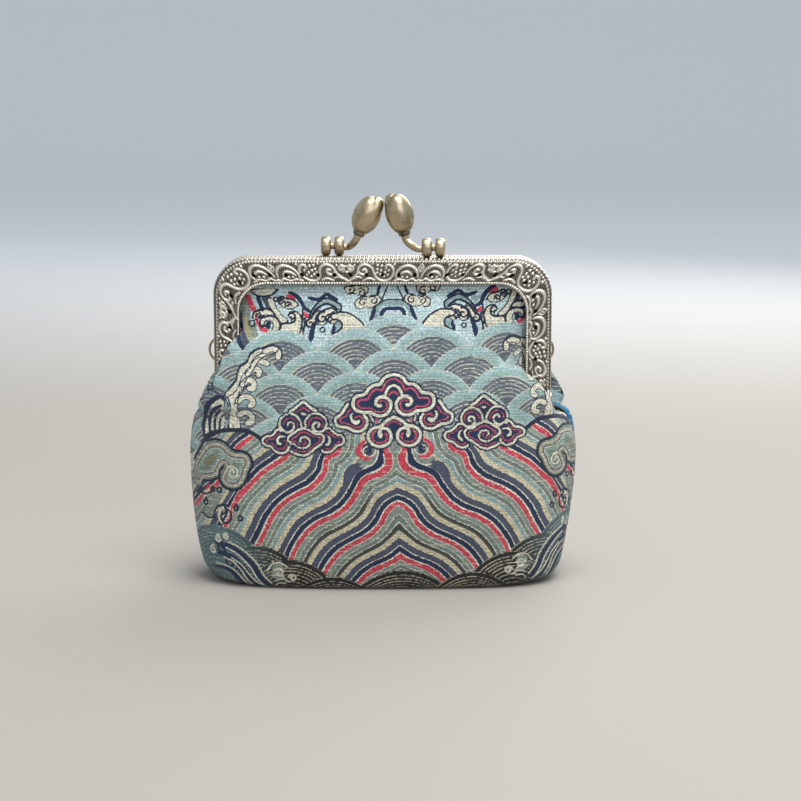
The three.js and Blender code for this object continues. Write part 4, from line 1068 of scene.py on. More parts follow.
def chartCloth(across, up, middle, selvedge):
    # every woven figure as a signed distance in millimetres at each point of the cloth
    x, y = patternPlace(across, up, middle)
    shape = x.shape
    x, y = x.ravel(), y.ravel()
    field = {}
    # a bare edge beside the seam, from a little below the hinges up, with a blue line along its rim
    toEdge = np.abs(across).max(axis=1)[:, None] - np.abs(across)
    toEdge = toEdge + 90 * (1 - smoothStep((up - weave["bareFrom"]) / 2) * selvedge)
    for word in ("bareEdge", "selvedge"):
        field[word] = toEdge.ravel() - weave[word]
    # fish scales: circles in staggered rows, each lower row lying over the one above
    radius, spread, rise = weave["scaleRadius"], weave["scaleSpread"], weave["scaleRise"]
    hatch = np.full(x.shape, 9.0)
    threads = np.full(x.shape, 9.0)
    scales = np.full(x.shape, 9.0)
    bandDepth = np.zeros(x.shape)

    def scaleDepth(row, column):
        # distance inwards from the edge of one scale
        top = weave["scaleTop"] - rise * row - (weave["crownDrop"] if row < 0 else 0)
        return radius - np.hypot((x - column * spread) * 1.07, y - (top - radius))

    for row in range(-1, weave["scaleRows"]):
        for column in range(-6, 7):
            if (row + column) % 2 == 0 or (row < 0 and column != 0):
                continue
            depth = scaleDepth(row, column)
            cover = np.maximum(scaleDepth(row + 1, column - 1), scaleDepth(row + 1, column + 1))
            scales = np.minimum(scales, -depth)
            bandDepth = np.where(depth > 0, depth, bandDepth)
            hatch = np.minimum(hatch, np.maximum(weave["scaleBand"] - depth, cover))
            for level in weave["scaleLines"]:
                line = np.abs(depth - level) - weave["lineHalf"]
                threads = np.minimum(threads, np.maximum(line, cover + 0.05))
    field["scales"], field["hatch"], field["scaleThreads"] = scales, hatch, threads
    field["bandDepth"] = bandDepth
    # waves: how far each point lies between one pink crest and the next
    side = []
    pink = np.full(x.shape, 9.0, np.float32)
    for crest in crests:
        path = smoothPath(crest, 0.5)
        away = np.full(x.shape, 1e9, np.float32)
        sign = np.ones(x.shape, np.float32)
        for a, b in zip(path[:-1], path[1:]):
            dx, dy = b[0] - a[0], b[1] - a[1]
            t = np.clip(((x - a[0]) * dx + (y - a[1]) * dy) / (dx * dx + dy * dy), 0, 1)
            gap = np.hypot(x - a[0] - t * dx, y - a[1] - t * dy)
            closer = gap < away
            away = np.where(closer, gap, away)
            sign = np.where(closer, np.sign(dx * (y - a[1]) - dy * (x - a[0])), sign)
        side.append(away * sign)
        pink = np.minimum(pink, lineDistance(x, y, path, 1.5))
    side = np.array(side)
    outer = weave["outerWave"]
    level = 1 - np.clip(-side[0], 0, outer) / outer
    for i in range(len(crests) - 1):
        here = (side[i] >= 0) & (side[i + 1] < 0)
        level = np.where(here, i + 1 + side[i] / np.maximum(side[i] - side[i + 1], 1e-4), level)
    level = np.where(side[-1] >= 0, len(crests) + np.minimum(side[-1] / outer, 0.98), level)
    field["waveLevel"] = level
    field["wavePink"] = pink
    field["waves"] = fillDistance(x, y, waveRoof)
    # mounds at the foot, back to front, with fine arcs cut off where a nearer one covers them
    ground = np.full(x.shape, 9.0)
    arcs = np.full(x.shape, 9.0)
    depths = [r - np.hypot(x - cx, y - cy) for cx, cy, r in mounds]
    for i, depth in enumerate(depths):
        cover = np.max(depths[i + 1 :], axis=0) if i + 1 < len(depths) else np.full(x.shape, -9.0)
        ground = np.minimum(ground, -depth)
        for k, line in enumerate(moundLines):
            arcs = np.minimum(arcs, np.maximum(np.abs(depth - line) - (0.14 if k else 0.1), cover + 0.1))
    field["mounds"], field["moundArcs"] = ground, arcs
    field["moundTint"] = smoothStep((x - 28) / 18)
    for word in ink:
        best = nearestLine(x, y, ink[word], 1.2)
        for outline in fill[word]:
            best = np.minimum(best, fillDistance(x, y, outline))
        if word == "line":
            for outline in fill["cream"]:
                best = np.minimum(best, np.abs(fillDistance(x, y, outline)) - 0.12)
        for path in behind.get(word, []):
            best = np.minimum(best, np.maximum(lineDistance(x, y, path, 1.2), 0.05 - scales))
        # the top band's figures go down behind the scales
        inBand = (y > weave["bandFoot"]) & (x < weave["bandSide"])
        best = np.where(inBand, np.maximum(best, 0.03 - scales), best)
        field[word] = best
    field["swirl"] = fillDistance(x, y, swirl)
    field["cloudCream"] = nearestLine(x, y, cloudCream, 1.6)
    field["cloudPink"] = nearestLine(x, y, cloudPink, 1.2)
    under = field["cloudCream"] - 0.3
    for outline in cloudFill:
        under = np.minimum(under, fillDistance(x, y, np.array(outline, float)))
    field["cloudUnder"] = under
    return {word: np.clip(values, -9, 9).reshape(shape) for word, values in field.items()}


threadTones = {
    "sky": tone(200, 229, 236), "skyDeep": tone(166, 198, 200), "seaGreen": tone(150, 181, 176),
    "slate": tone(92, 102, 120), "slatePurple": tone(76, 84, 104), "cream": tone(216, 208, 178),
    "white": tone(234, 232, 212), "navy": tone(18, 42, 80), "navyDark": tone(14, 30, 58),
    "pink": tone(212, 70, 90), "rose": tone(194, 78, 104), "sage": tone(118, 133, 125),
    "sageLight": tone(138, 151, 142), "olive": tone(66, 72, 68), "lightBlue": tone(142, 170, 172),
    "tan": tone(176, 164, 138), "oliveGold": tone(140, 136, 96), "gold": tone(176, 164, 112),
    "selvedge": tone(34, 128, 172), "swirlGreen": tone(140, 164, 150),
    "moundDark": tone(27, 29, 33), "moundTeal": tone(88, 114, 116),
}
inkTones = {
    "teal": "lightBlue", "sage": "sageLight", "gold": "gold", "slate": "slatePurple", "cream": "white",
    "navy": "navy", "pink": "pink", "thread": "white", "line": "navyDark",
}
waveBands = [
    (0.0, "white"), (0.105, "navy"), (0.232, "white"), (0.258, "slatePurple"), (0.42, "cream"),
    (0.56, "fourth"), (0.668, "white"), (0.692, "sage"), (0.8, "white"), (0.815, "sageLight"),
    (0.97, "white"),
]
swirlBands = [
    (0.0, "sage"), (0.16, "white"), (0.19, "tan"), (0.3, "slate"), (0.38, "white"), (0.41, "swirlGreen"),
    (0.56, "sage"), (0.7, "oliveGold"),
]
clothLook = {
    "shade": (0.56, 1.3), "dash": 0.42, "dashTone": tone(150, 138, 112), "float": 0.4, "wear": (0.9, 1.04),
    "rough": (0.62, 0.86), "sheen": 0.12, "sheenRough": 0.4, "relief": 0.8, "reliefDepth": 0.00018,
}


def makeBrocade():
    # the ground, then scales, waves, mounds, plain inks and clouds laid one over another
    material = bpy.data.materials.new("brocade")
    material.use_nodes = True
    b = Board(material.node_tree)
    shader = material.node_tree.nodes["Principled BSDF"]
    place = b.add("ShaderNodeUVMap", {"uv_map": "cloth"}).outputs[0]
    cloth = b.group(groups["weave"], Place=place)
    jitter = cloth.outputs["Jitter"]
    softMottle = b.noise(place, 0.12, 3.0, 0.6)
    fineMottle = b.noise(place, 1.1, 2.0, 0.6)

    def field(name, shift=0.0, rough=1.0):
        # a charted distance, roughened by the threads and moved in or out
        value = b.add("ShaderNodeAttribute", {"attribute_name": name}).outputs["Fac"]
        if rough:
            value = b.math("MULTIPLY_ADD", jitter, rough, value)
        return b.math("ADD", value, shift) if shift else value

    def lay(below, colour, distance, softness=0.06):
        # one thread colour woven in wherever the distance is under nought
        node = b.group(groups["inlay"], Below=below, Ink=colour, Distance=distance, Softness=softness)
        return node.outputs["Color"]

    colours = threadTones
    height = b.add("ShaderNodeSeparateXYZ", i0=place).outputs[1]
    upper = b.range(height, 52.0, 72.0)
    band = b.blend(b.range(field("bandDepth", 0.0, 2.0), 0.9, 1.6), colours["skyDeep"], colours["seaGreen"])
    sky = b.blend(b.range(fineMottle, 0.35, 0.7), colours["sky"], colours["white"])
    sky = b.blend(0.72, sky, colours["sky"])
    ground = b.blend(upper, band, b.blend(0.5, band, colours["sky"]))
    colour = lay(sky, ground, field("scales"))
    greySlate = b.blend(0.5, colours["slate"], colours["sage"])
    hatchTone = b.blend(b.range(fineMottle, 0.3, 0.7), colours["slate"], greySlate)
    colour = lay(colour, hatchTone, field("hatch"))
    colour = lay(colour, colours["white"], field("scaleThreads", 0.02, 0.7))
    # waves: one ramp of bands from each crest to the next
    level = field("waveLevel", 0.0, 0.1)
    share = b.math("FRACT", level)

    def bandRamp(share, bands, fourth=None):
        # flat bands of colour, each from its place to the next one's
        ramp = b.add("ShaderNodeValToRGB", None, i0=share)
        ramp.color_ramp.interpolation = "CONSTANT"
        elements = ramp.color_ramp.elements
        for k, (at, word) in enumerate(bands):
            stop = elements[k] if k < 2 else elements.new(at)
            stop.position, stop.color = at, colours[fourth if word == "fourth" else word]
        return ramp.outputs[0]

    dark = b.math("SUBTRACT", b.range(level, 2.6, 3.6, 1.0, 0.0), b.range(height, 22.0, 30.0), clamp=True)
    bands = b.blend(dark, bandRamp(share, waveBands, "lightBlue"), bandRamp(share, waveBands, "olive"))
    colour = lay(colour, bands, field("waves"))
    wavePink = b.math("MAXIMUM", field("wavePink"), field("waves"))
    colour = lay(colour, colours["white"], b.math("SUBTRACT", wavePink, 0.16))
    colour = lay(colour, colours["pink"], wavePink)
    tint = field("moundTint", 0.0, 0.0)
    moundTone = b.blend(tint, colours["moundDark"], colours["moundTeal"])
    colour = lay(colour, moundTone, field("mounds"))
    arcTone = b.blend(tint, colours["cream"], colours["lightBlue"])
    colour = lay(colour, arcTone, field("moundArcs", 0.0, 0.6))
    curlDepth = b.math("MULTIPLY", field("swirl", 0.0, 0.6), -0.2)
    colour = lay(colour, bandRamp(curlDepth, swirlBands), field("swirl"))
    for word, shade in inkTones.items():
        thin = word in ("line", "thread")
        colour = lay(colour, colours[shade], field(word, -0.06 if thin else 0.0, 0.3 if thin else 0.55))
    colour = lay(colour, colours["skyDeep"], field("bareEdge"))
    colour = lay(colour, colours["selvedge"], field("selvedge"))
    colour = lay(colour, colours["navy"], field("cloudUnder"))
    colour = lay(colour, colours["rose"], field("cloudPink"))
    colour = lay(colour, colours["navyDark"], field("cloudCream", -0.2))
    colour = lay(colour, colours["white"], field("cloudCream", 0.13))
    # threads: a chance shade for each, and short dark floats that show on the pale parts
    shade = b.range(cloth.outputs["Shade"], 0.0, 1.0, *clothLook["shade"], "LINEAR")
    grey = b.add("ShaderNodeCombineXYZ", i0=shade, i1=shade, i2=shade)
    colour = b.blend(0.8, colour, b.blend(1.0, colour, grey.outputs[0], "MULTIPLY"))
    bright = b.add("ShaderNodeRGBToBW", None, i0=colour).outputs[0]
    pale = b.range(bright, 0.38, 0.5)
    middle = b.math("MULTIPLY", b.range(bright, 0.1, 0.2), b.range(bright, 0.38, 0.5, 1.0, 0.0))
    dashes = b.math("MULTIPLY", b.math("MULTIPLY", cloth.outputs["Dash"], pale), clothLook["dash"])
    colour = b.blend(dashes, colour, b.blend(1.0, colour, clothLook["dashTone"], "MULTIPLY"))
    floats = b.math("MULTIPLY", b.math("MULTIPLY", cloth.outputs["Float"], middle), clothLook["float"])
    colour = b.blend(floats, colour, colours["white"])
    wear = b.range(softMottle, 0.3, 0.7, *clothLook["wear"], "LINEAR")
    worn = b.add("ShaderNodeCombineXYZ", i0=wear, i1=wear, i2=wear)
    colour = b.blend(1.0, colour, worn.outputs[0], "MULTIPLY")
    b.feed(shader, "Base Color", colour)
    b.feed(shader, "Roughness", b.range(cloth.outputs["Shade"], 0.0, 1.0, *clothLook["rough"], "LINEAR"))
    shader.inputs["Sheen Weight"].default_value = clothLook["sheen"]
    shader.inputs["Sheen Roughness"].default_value = clothLook["sheenRough"]
    bump = b.add("ShaderNodeBump", None, Height=cloth.outputs["Height"])
    bump.inputs["Strength"].default_value = clothLook["relief"]
    bump.inputs["Distance"].default_value = clothLook["reliefDepth"]
    b.feed(shader, "Normal", bump.outputs[0])
    return material


def makeLining():
    # a plain pale satin inside the purse
    material = bpy.data.materials.new("lining")
    material.use_nodes = True
    b = Board(material.node_tree)
    shader = material.node_tree.nodes["Principled BSDF"]
    place = b.add("ShaderNodeUVMap", {"uv_map": "cloth"}).outputs[0]
    cloth = b.group(groups["weave"], Place=place, Across=0.2, Up=0.24)
    shade = b.blend(cloth.outputs["Shade"], tone(186, 178, 160), tone(204, 197, 180))
    b.feed(shader, "Base Color", shade)
    shader.inputs["Roughness"].default_value = 0.5
    return material


brocade, lining = makeBrocade(), makeLining()


# Shallow creases pressed into the cloth: across, up, direction in degrees, length, width, depth
folds = [
    (-31, 44, 62, 16, 1.6, -0.34), (33, 46, 118, 15, 1.6, -0.38), (40, 40, 150, 11, 1.3, -0.3),
    (-41, 37, 30, 11, 1.3, -0.26), (-20, 12, 20, 20, 3.5, -0.22), (22, 10, 160, 22, 3.5, -0.22),
    (0, 30, 90, 26, 5.0, 0.16), (-28, 28, 75, 22, 4.0, 0.2), (28, 27, 105, 24, 4.0, 0.2),
    (12, 62, 80, 18, 3.0, -0.15), (-14, 61, 100, 18, 3.0, -0.15),
]


def foldHeight(across, up):
    # the creases added together, each a long soft bump, and faded out near the seams,
    # the frame and the table
    total = np.zeros(across.shape)
    for x, y, turn, length, width, depth in folds:
        c, s = math.cos(math.radians(turn)), math.sin(math.radians(turn))
        along, off = (across - x) * c + (up - y) * s, (up - y) * c - (across - x) * s
        total += depth * np.exp(-((along / length * 2) ** 2) - (off / width) ** 2)
    edge = smoothStep((np.abs(across).max(axis=1)[:, None] - np.abs(across)) / 8)
    return np.minimum(total, 0.25) * edge * smoothStep((up - 3) / 8) * smoothStep((72 - up) / 8)


def makePanel(name, node, leftColumn, rightColumn, facing, middle):
    # a closed wall of cloth: its outer face, a coarser inner face, and a rim that fans between them
    rows, columns, coarse = body["rows"], body["columns"], body["coarse"]
    face, across, up = clothFace(leftColumn, rightColumn, rows, columns)
    outer = face * [1, -1, 1]
    normal = surfaceNormals(outer)
    outer = outer + normal * foldHeight(across * facing, up)[..., None]
    outer[..., 2] = np.maximum(outer[..., 2], 0)
    inner = (outer - normal * (body["wall"] - 0.1))[::coarse, ::coarse]
    inner[..., 1] = np.minimum(inner[..., 1], -body["seamGap"] / 2)
    onTable = outer[::coarse, ::coarse, 2] < 0.01
    inner[..., 2] = np.where(onTable, body["wall"], inner[..., 2])
    innerRows, innerColumns = inner.shape[:2]
    points = np.vstack([outer.reshape(-1, 3), inner.reshape(-1, 3)])
    layer = rows * columns
    faces = [
        asTriangles(gridQuads(rows, columns)),
        asTriangles(gridQuads(innerRows, innerColumns, layer))[:, ::-1],
    ]
    number = np.arange(layer).reshape(rows, columns)
    innerNumber = layer + np.arange(innerRows * innerColumns).reshape(innerRows, innerColumns)

    def loopOf(grid):
        # the corner numbers round a grid's border, anticlockwise
        return np.concatenate([grid[0, :-1], grid[:-1, -1], grid[-1, :0:-1], grid[:0:-1, 0]])

    ring, innerRing = loopOf(number), loopOf(innerNumber)
    nearest = np.arange(len(ring)) // coarse
    faces.append(np.column_stack([ring, innerRing[nearest], np.roll(ring, -1)]))
    ahead = ring[(np.arange(len(innerRing)) * coarse + coarse) % len(ring)]
    faces.append(np.column_stack([innerRing, np.roll(innerRing, -1), ahead]))
    slotOf = np.concatenate([np.full(len(f), k) for f, k in zip(faces, (0, 1, 0, 0))])
    faces = np.vstack(faces)
    if facing < 0:
        points = points * [1, -1, 1]
        faces = faces[:, ::-1]
    piece = makePiece(name, points, faces, [brocade, lining], slotOf)
    spread = across * facing
    fields = chartCloth(spread, up, middle, facing < 0)
    wide = np.concatenate([spread.ravel(), spread[::coarse, ::coarse].ravel()])
    tall = np.concatenate([up.ravel(), up[::coarse, ::coarse].ravel()])
    setMap(piece, wide, tall)
    for word, values in fields.items():
        setAttribute(piece, word, np.concatenate([values.ravel(), values[::coarse, ::coarse].ravel()]))
    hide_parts(node)


makePanel("front_brocade", "front_panel", 1, 2, 1, weave["middle"])
makePanel("back_brocade", "back_panel", 3, 3, -1, weave["backMiddle"])
print("purse: cloth panels woven")


# Metal
metals = {
    "antiqueSilver": {"bright": tone(250, 243, 229), "dull": tone(36, 30, 24), "stain": 0.05, "grain": 0.46},
    "agedBrass": {"bright": tone(202, 187, 155), "dull": tone(56, 46, 36), "stain": 0.46, "grain": 0.0},
}
metalRelief = {"strength": 0.25, "depth": 0.00005}


def makeMetal(name):
    # a plated metal that darkens where its darkening attribute is high: patina in the frame's hollows,
    # painted shade in the sewing holes and on the clasp's lower parts
    plating = metals[name]
    grain = plating["grain"]
    material = bpy.data.materials.new(name)
    material.use_nodes = True
    b = Board(material.node_tree)
    shader = material.node_tree.nodes["Principled BSDF"]
    place = b.add("ShaderNodeTexCoord").outputs["Object"]
    patinaAndShade = b.add("ShaderNodeAttribute", {"attribute_name": "patinaAndShade"}).outputs["Fac"]
    if grain:
        # cast ground: rows of fine grains set by turns, in the hollows alone
        cast = b.add("ShaderNodeUVMap", {"uv_map": "cloth"}).outputs[0]
        split = b.add("ShaderNodeSeparateXYZ", i0=cast)
        up = b.math("DIVIDE", split.outputs[1], grain * 0.87)
        side = b.math("MULTIPLY_ADD", b.math("FLOOR", up), 0.5, b.math("DIVIDE", split.outputs[0], grain))
        domes = [b.math("SINE", b.math("MULTIPLY", b.math("FRACT", k), math.pi)) for k in (side, up)]
        dots = b.range(b.math("MULTIPLY", *domes), 0.45, 0.8)
        sunk = b.math("MULTIPLY", b.range(patinaAndShade, 0.5, 0.72), b.range(patinaAndShade, 1.2, 1.05))
        patinaAndShade = b.math("SUBTRACT", patinaAndShade, b.math("MULTIPLY", b.math("MULTIPLY", dots, sunk), 0.42))
    tarnishAndShade = b.group(
        groups["tarnishAndShade"], Place=place, Hollow=patinaAndShade, Bright=plating["bright"], Dull=plating["dull"],
        Stain=plating["stain"]
    )
    b.feed(shader, "Base Color", tarnishAndShade.outputs["Color"])
    b.feed(shader, "Roughness", tarnishAndShade.outputs["Roughness"])
    shader.inputs["Metallic"].default_value = 1.0
    bump = b.add("ShaderNodeBump", None, Height=tarnishAndShade.outputs["Height"])
    bump.inputs["Strength"].default_value = metalRelief["strength"]
    bump.inputs["Distance"].default_value = metalRelief["depth"]
    b.feed(shader, "Normal", bump.outputs[0])
    return material


silver, brass = makeMetal("antiqueSilver"), makeMetal("agedBrass")


def curveThrough(points, count):
    # a smooth curve through points in space, evenly numbered along its knots
    points = np.array(points, float)
    knots = np.concatenate([[0], np.cumsum(np.linalg.norm(np.diff(points, axis=0), axis=1) ** 0.5)])
    return through(knots, points, np.linspace(0, knots[-1], count))


def outward(points, triangles):
    # turns a closed shape's faces outwards, by the sign of its volume
    a, b, c = (points[triangles[:, k]] for k in range(3))
    volume = np.einsum("ij,ij->i", a, np.cross(b, c)).sum()
    return points, triangles if volume > 0 else triangles[:, ::-1]


def plainMap(piece):
    # a flat map for pieces without a pattern
    count = len(piece.data.vertices)
    setMap(piece, np.zeros(count), np.zeros(count))


def closeRings(points, rings, sides, lowEnd, highEnd):
    # a closed shape from rings of points, with a fan to one point at each end
    faces = asTriangles(gridQuads(rings, sides, wrapColumns=True))
    low, high = len(points), len(points) + 1
    around = np.arange(sides)
    after = (around + 1) % sides
    last = (rings - 1) * sides
    lowFan = np.column_stack([0 * around + low, after, around])
    highFan = np.column_stack([0 * around + high, last + around, last + after])
    return outward(np.vstack([points, lowEnd, highEnd]), np.vstack([faces, lowFan, highFan]))


def revolve(profile, sides, ridge=None):
    # a body turned about the Z axis from [radius, height] rows, the first and last on the axis:
    # each ring lies at the radius times the cosine and the sine of the turn
    rings = np.array(profile[1:-1], float)
    turn = np.arange(sides) * 2 * math.pi / sides
    radius = rings[:, :1] * (1 if ridge is None else ridge(turn[None, :], rings[:, 1:]))
    ring = [radius * np.cos(turn), radius * np.sin(turn), rings[:, 1:] + 0 * turn]
    points = np.stack(ring, -1).reshape(-1, 3)
    return closeRings(points, len(rings), sides, [0, 0, profile[0][1]], [0, 0, profile[-1][1]])


def tube(path, radius, sides):
    # a round wire along a curve that keeps near one plane, closed at both ends: each ring lies at
    # the radius times the cosine of the turn along one normal and its sine along the other
    path = np.asarray(path, float)
    along = np.gradient(path, axis=0)
    along /= np.linalg.norm(along, axis=1, keepdims=True)
    side = np.cross(along, np.cross(path[0] - path[len(path) // 2], path[-1] - path[len(path) // 2]))
    if np.linalg.norm(side) < 1e-6:
        side = np.cross(along, [0, 1, 0])
    side /= np.linalg.norm(side, axis=1, keepdims=True)
    other = np.cross(along, side)
    turn = np.arange(sides) * 2 * math.pi / sides
    radius = np.broadcast_to(radius, len(path))[:, None, None]
    ring = side[:, None] * np.cos(turn)[None, :, None] + other[:, None] * np.sin(turn)[None, :, None]
    points = (path[:, None] + radius * ring).reshape(-1, 3)
    return closeRings(points, len(path), sides, path[0], path[-1])


def prism(outline, middle, near, far):
    # a plate between two X planes from a [y, z] outline that its middle point sees all of
    outline = np.array(outline, float)
    count = len(outline)
    layers = [np.column_stack([np.full(count, x), outline]) for x in (near, far)]
    points = np.vstack(layers + [[near, *middle], [far, *middle]])
    around = np.arange(count)
    after = (around + 1) % count
    faces = [
        np.column_stack([around, after, after + count]),
        np.column_stack([around, after + count, around + count]),
    ]
    faces += [np.column_stack([around * 0 + 2 * count, after, around])]
    faces += [np.column_stack([around * 0 + 2 * count + 1, around + count, after + count])]
    return outward(points, np.vstack(faces))


def joinParts(parts):
    # several closed shapes as one list of points and triangles
    points, triangles, count = [], [], 0
    for p, t in parts:
        points.append(p)
        triangles.append(t + count)
        count += len(p)
    return np.vstack(points), np.vstack(triangles)


# The snap frame's two halves
hinge = {"ear": 2.3, "drop": 2.9, "shank": 0.8, "cap": 1.7, "capTall": 0.8, "arc": (234, 435)}
relief = {
    "repeat": 37.0, "palmette": 9.5, "height": 0.34, "step": 0.2,  # the border figure and where one stands
    "beadPitch": 0.74, "sideBeadPitch": 0.98, "holePitch": 4.05, "holeInset": 2.5, "holeRadius": 0.38,
    "holeSoft": 0.24, "holeDeep": 0.55,
    "ribbonRise": 0.8, "ribbonEdge": 0.26, "innerBeads": (0.36, 0.33, 1.0), "outerBeads": (5.75, 0.3, 0.8),
    "sideBeads": (0.34, 0.9), "sideBeadRows": (-0.1, 0.85, 1.8, 2.75, 3.7),
    # the pit value is painted shade that darkens the sewing holes
    "facePoints": 30, "flankPoints": 23, "groundTarnish": 0.96, "proudBright": 1.25, "pitShade": 0.9,
    "earTarnish": 0.35,
}
# One half of the border figure: distance from the palmette's middle, height above the inner edge
reliefRibbons = [
    stroke(0.3, [(0, 5.2), (0.65, 4.25), (0, 3.25)]),
    stroke(0, [
        (0.4, 1.8, 0.3), (0.75, 3.0, 0.5), (1.6, 4.15, 0.6), (3.1, 4.8, 0.62), (4.8, 4.4, 0.6),
        (5.8, 3.4, 0.5), (6.1, 2.3, 0.45), (5.8, 1.4, 0.3),
    ]),
    stroke(0, [(2.0, 2.4, 0.3), (3.0, 3.2, 0.6), (4.4, 3.1, 0.55), (5.3, 2.3, 0.3)]),
    stroke(0.4, [(0, 1.25), (0.7, 0.95), (1.7, 1.5), (3.2, 1.0), (5.0, 1.35), (6.5, 1.0)]),
    stroke(0, [
        (8.6, 4.1, 0.5), (8.7, 4.8, 0.5), (7.9, 5.0, 0.5), (7.05, 4.3, 0.55), (6.75, 3.2, 0.5),
        (7.2, 1.9, 0.5), (8.3, 1.15, 0.55), (9.8, 1.05, 0.5), (11.0, 1.7, 0.5), (11.6, 2.8, 0.5),
        (12.2, 4.3, 0.5), (13.6, 5.1, 0.6), (15.0, 4.7, 0.6), (15.6, 3.7, 0.55), (15.1, 2.75, 0.5),
        (14.1, 2.6, 0.5), (13.5, 3.2, 0.5), (13.9, 3.9, 0.55), (14.5, 3.7, 0.5),
    ]),
    stroke(0.5, [(15.6, 3.6), (16.1, 2.6), (17.2, 1.7), (18.6, 0.85)]),
    curl(0.45, 17.2, 4.05, 0.85, 0.25, -60, 420), stroke(0.42, [(17.4, 5.0), (18.6, 4.5)]),
    stroke(0.36, [(15.0, 1.75), (16.0, 1.95), (17.0, 1.5)]),
    stroke(0.4, [(11.6, 1.2), (13.0, 1.6), (14.6, 1.1)]),
]
reliefBerries = [  # across, up, radius
    (0, 4.25, 0.3), (3.2, 1.9, 0.34), (6.6, 5.1, 0.36), (9.7, 4.7, 0.36), (10.7, 4.9, 0.36), (8.0, 3.6, 0.3),
    (8.9, 3.1, 0.36), (9.9, 3.6, 0.36), (10.8, 3.9, 0.34), (8.2, 2.5, 0.3), (9.2, 2.1, 0.34),
    (10.1, 2.6, 0.36), (10.9, 3.0, 0.3), (11.9, 5.3, 0.3), (18.4, 3.2, 0.34), (16.3, 4.9, 0.3),
    (4.4, 1.95, 0.3),
]


def bandStations(step):
    # places along the band from the left arm's end round to the right: inner and outer edge,
    # and the distance along the middle line, nought at the middle of the top
    inner, outer = snap["innerRadius"], snap["outerRadius"]
    high, wide = throat - inner, snap["width"] / 2
    arm = int((high + snap["top"] - outer - 2 * snap["armEnd"] - snap["armSlant"]) / 2 / step)
    corner = int((inner + outer) * math.pi / 4 / step)
    up = np.linspace(0, 1, arm, endpoint=False)
    turn = np.linspace(0, math.pi / 2, corner, endpoint=False)
    innerArm = np.column_stack([0 * up - lipX, mix(snap["armEnd"] + snap["armSlant"], high, up)])
    outerArm = np.column_stack([0 * up - wide, mix(snap["armEnd"], snap["top"] - outer, up)])
    innerArc = np.column_stack([inner - lipX - inner * np.cos(turn), high + inner * np.sin(turn)])
    outerArc = np.column_stack([
        outer - wide - outer * np.cos(turn), snap["top"] - outer + outer * np.sin(turn),
    ])
    top = int((lipX - inner + wide - outer) / 2 / step)
    over = np.linspace(0, 1, top)
    innerTop = np.column_stack([mix(inner - lipX, 0, over), 0 * over + throat])
    outerTop = np.column_stack([mix(outer - wide, 0, over), 0 * over + snap["top"]])
    left = [np.vstack([innerArm, innerArc, innerTop]), np.vstack([outerArm, outerArc, outerTop])]
    low, out = (np.vstack([half, half[-2::-1] * [-1, 1]]) for half in left)
    middle = (low + out) / 2
    gone = np.concatenate([[0], np.cumsum(np.linalg.norm(np.diff(middle, axis=0), axis=1))])
    return low, out, gone - gone[-1] / 2


def reliefHeight(along, place):
    # the cast figures' height at a distance along the band and a place across it: the front
    # face runs from 0 at the inner edge, and the outer side follows it
    shape = along.shape
    s, p = along.ravel(), place.ravel()
    half = relief["repeat"] / 2
    x = np.abs((s - relief["palmette"] + half) % relief["repeat"] - half)
    near = nearestLine(x, p, reliefRibbons, 0.8)
    high = relief["ribbonRise"] * smoothStep(0.5 - near / relief["ribbonEdge"])
    for cx, cy, radius in reliefBerries:
        high = np.maximum(high, np.sqrt(np.clip(1 - ((x - cx) ** 2 + (p - cy) ** 2) / radius**2, 0, 1)))

    def beads(level, pitch, radius, rise, offset=0.0):
        # a row of half balls along the band
        away = (s / pitch + offset) % 1 - 0.5
        return rise * np.sqrt(np.clip(1 - ((away * pitch) ** 2 + (p - level) ** 2) / radius**2, 0, 1))

    side = snap["channel"] + 0.5
    low, radius, rise = relief["innerBeads"]
    rows = [beads(low, relief["beadPitch"], radius, rise)]
    low, radius, rise = relief["outerBeads"]
    rows.append(beads(low, relief["beadPitch"], radius, rise, 0.5))
    radius, rise = relief["sideBeads"]
    for i, level in enumerate(relief["sideBeadRows"]):
        rows.append(beads(side + level, relief["sideBeadPitch"], radius, rise, 0.5 * (i % 2)))
    return np.maximum(high, np.max(rows, axis=0)).reshape(shape) * relief["height"]


def holePlaces(low, out, gone):
    # distance along and place across of each sewing hole
    inset = relief["holeInset"]
    share = inset / snap["channel"]
    line = mix(low, out, share)
    run = np.concatenate([[0], np.cumsum(np.linalg.norm(np.diff(line, axis=0), axis=1))])
    run -= run[-1] / 2
    count = int((run[-1] - 4.5) / relief["holePitch"])
    return np.interp(np.arange(-count, count + 1) * relief["holePitch"], run, gone), inset


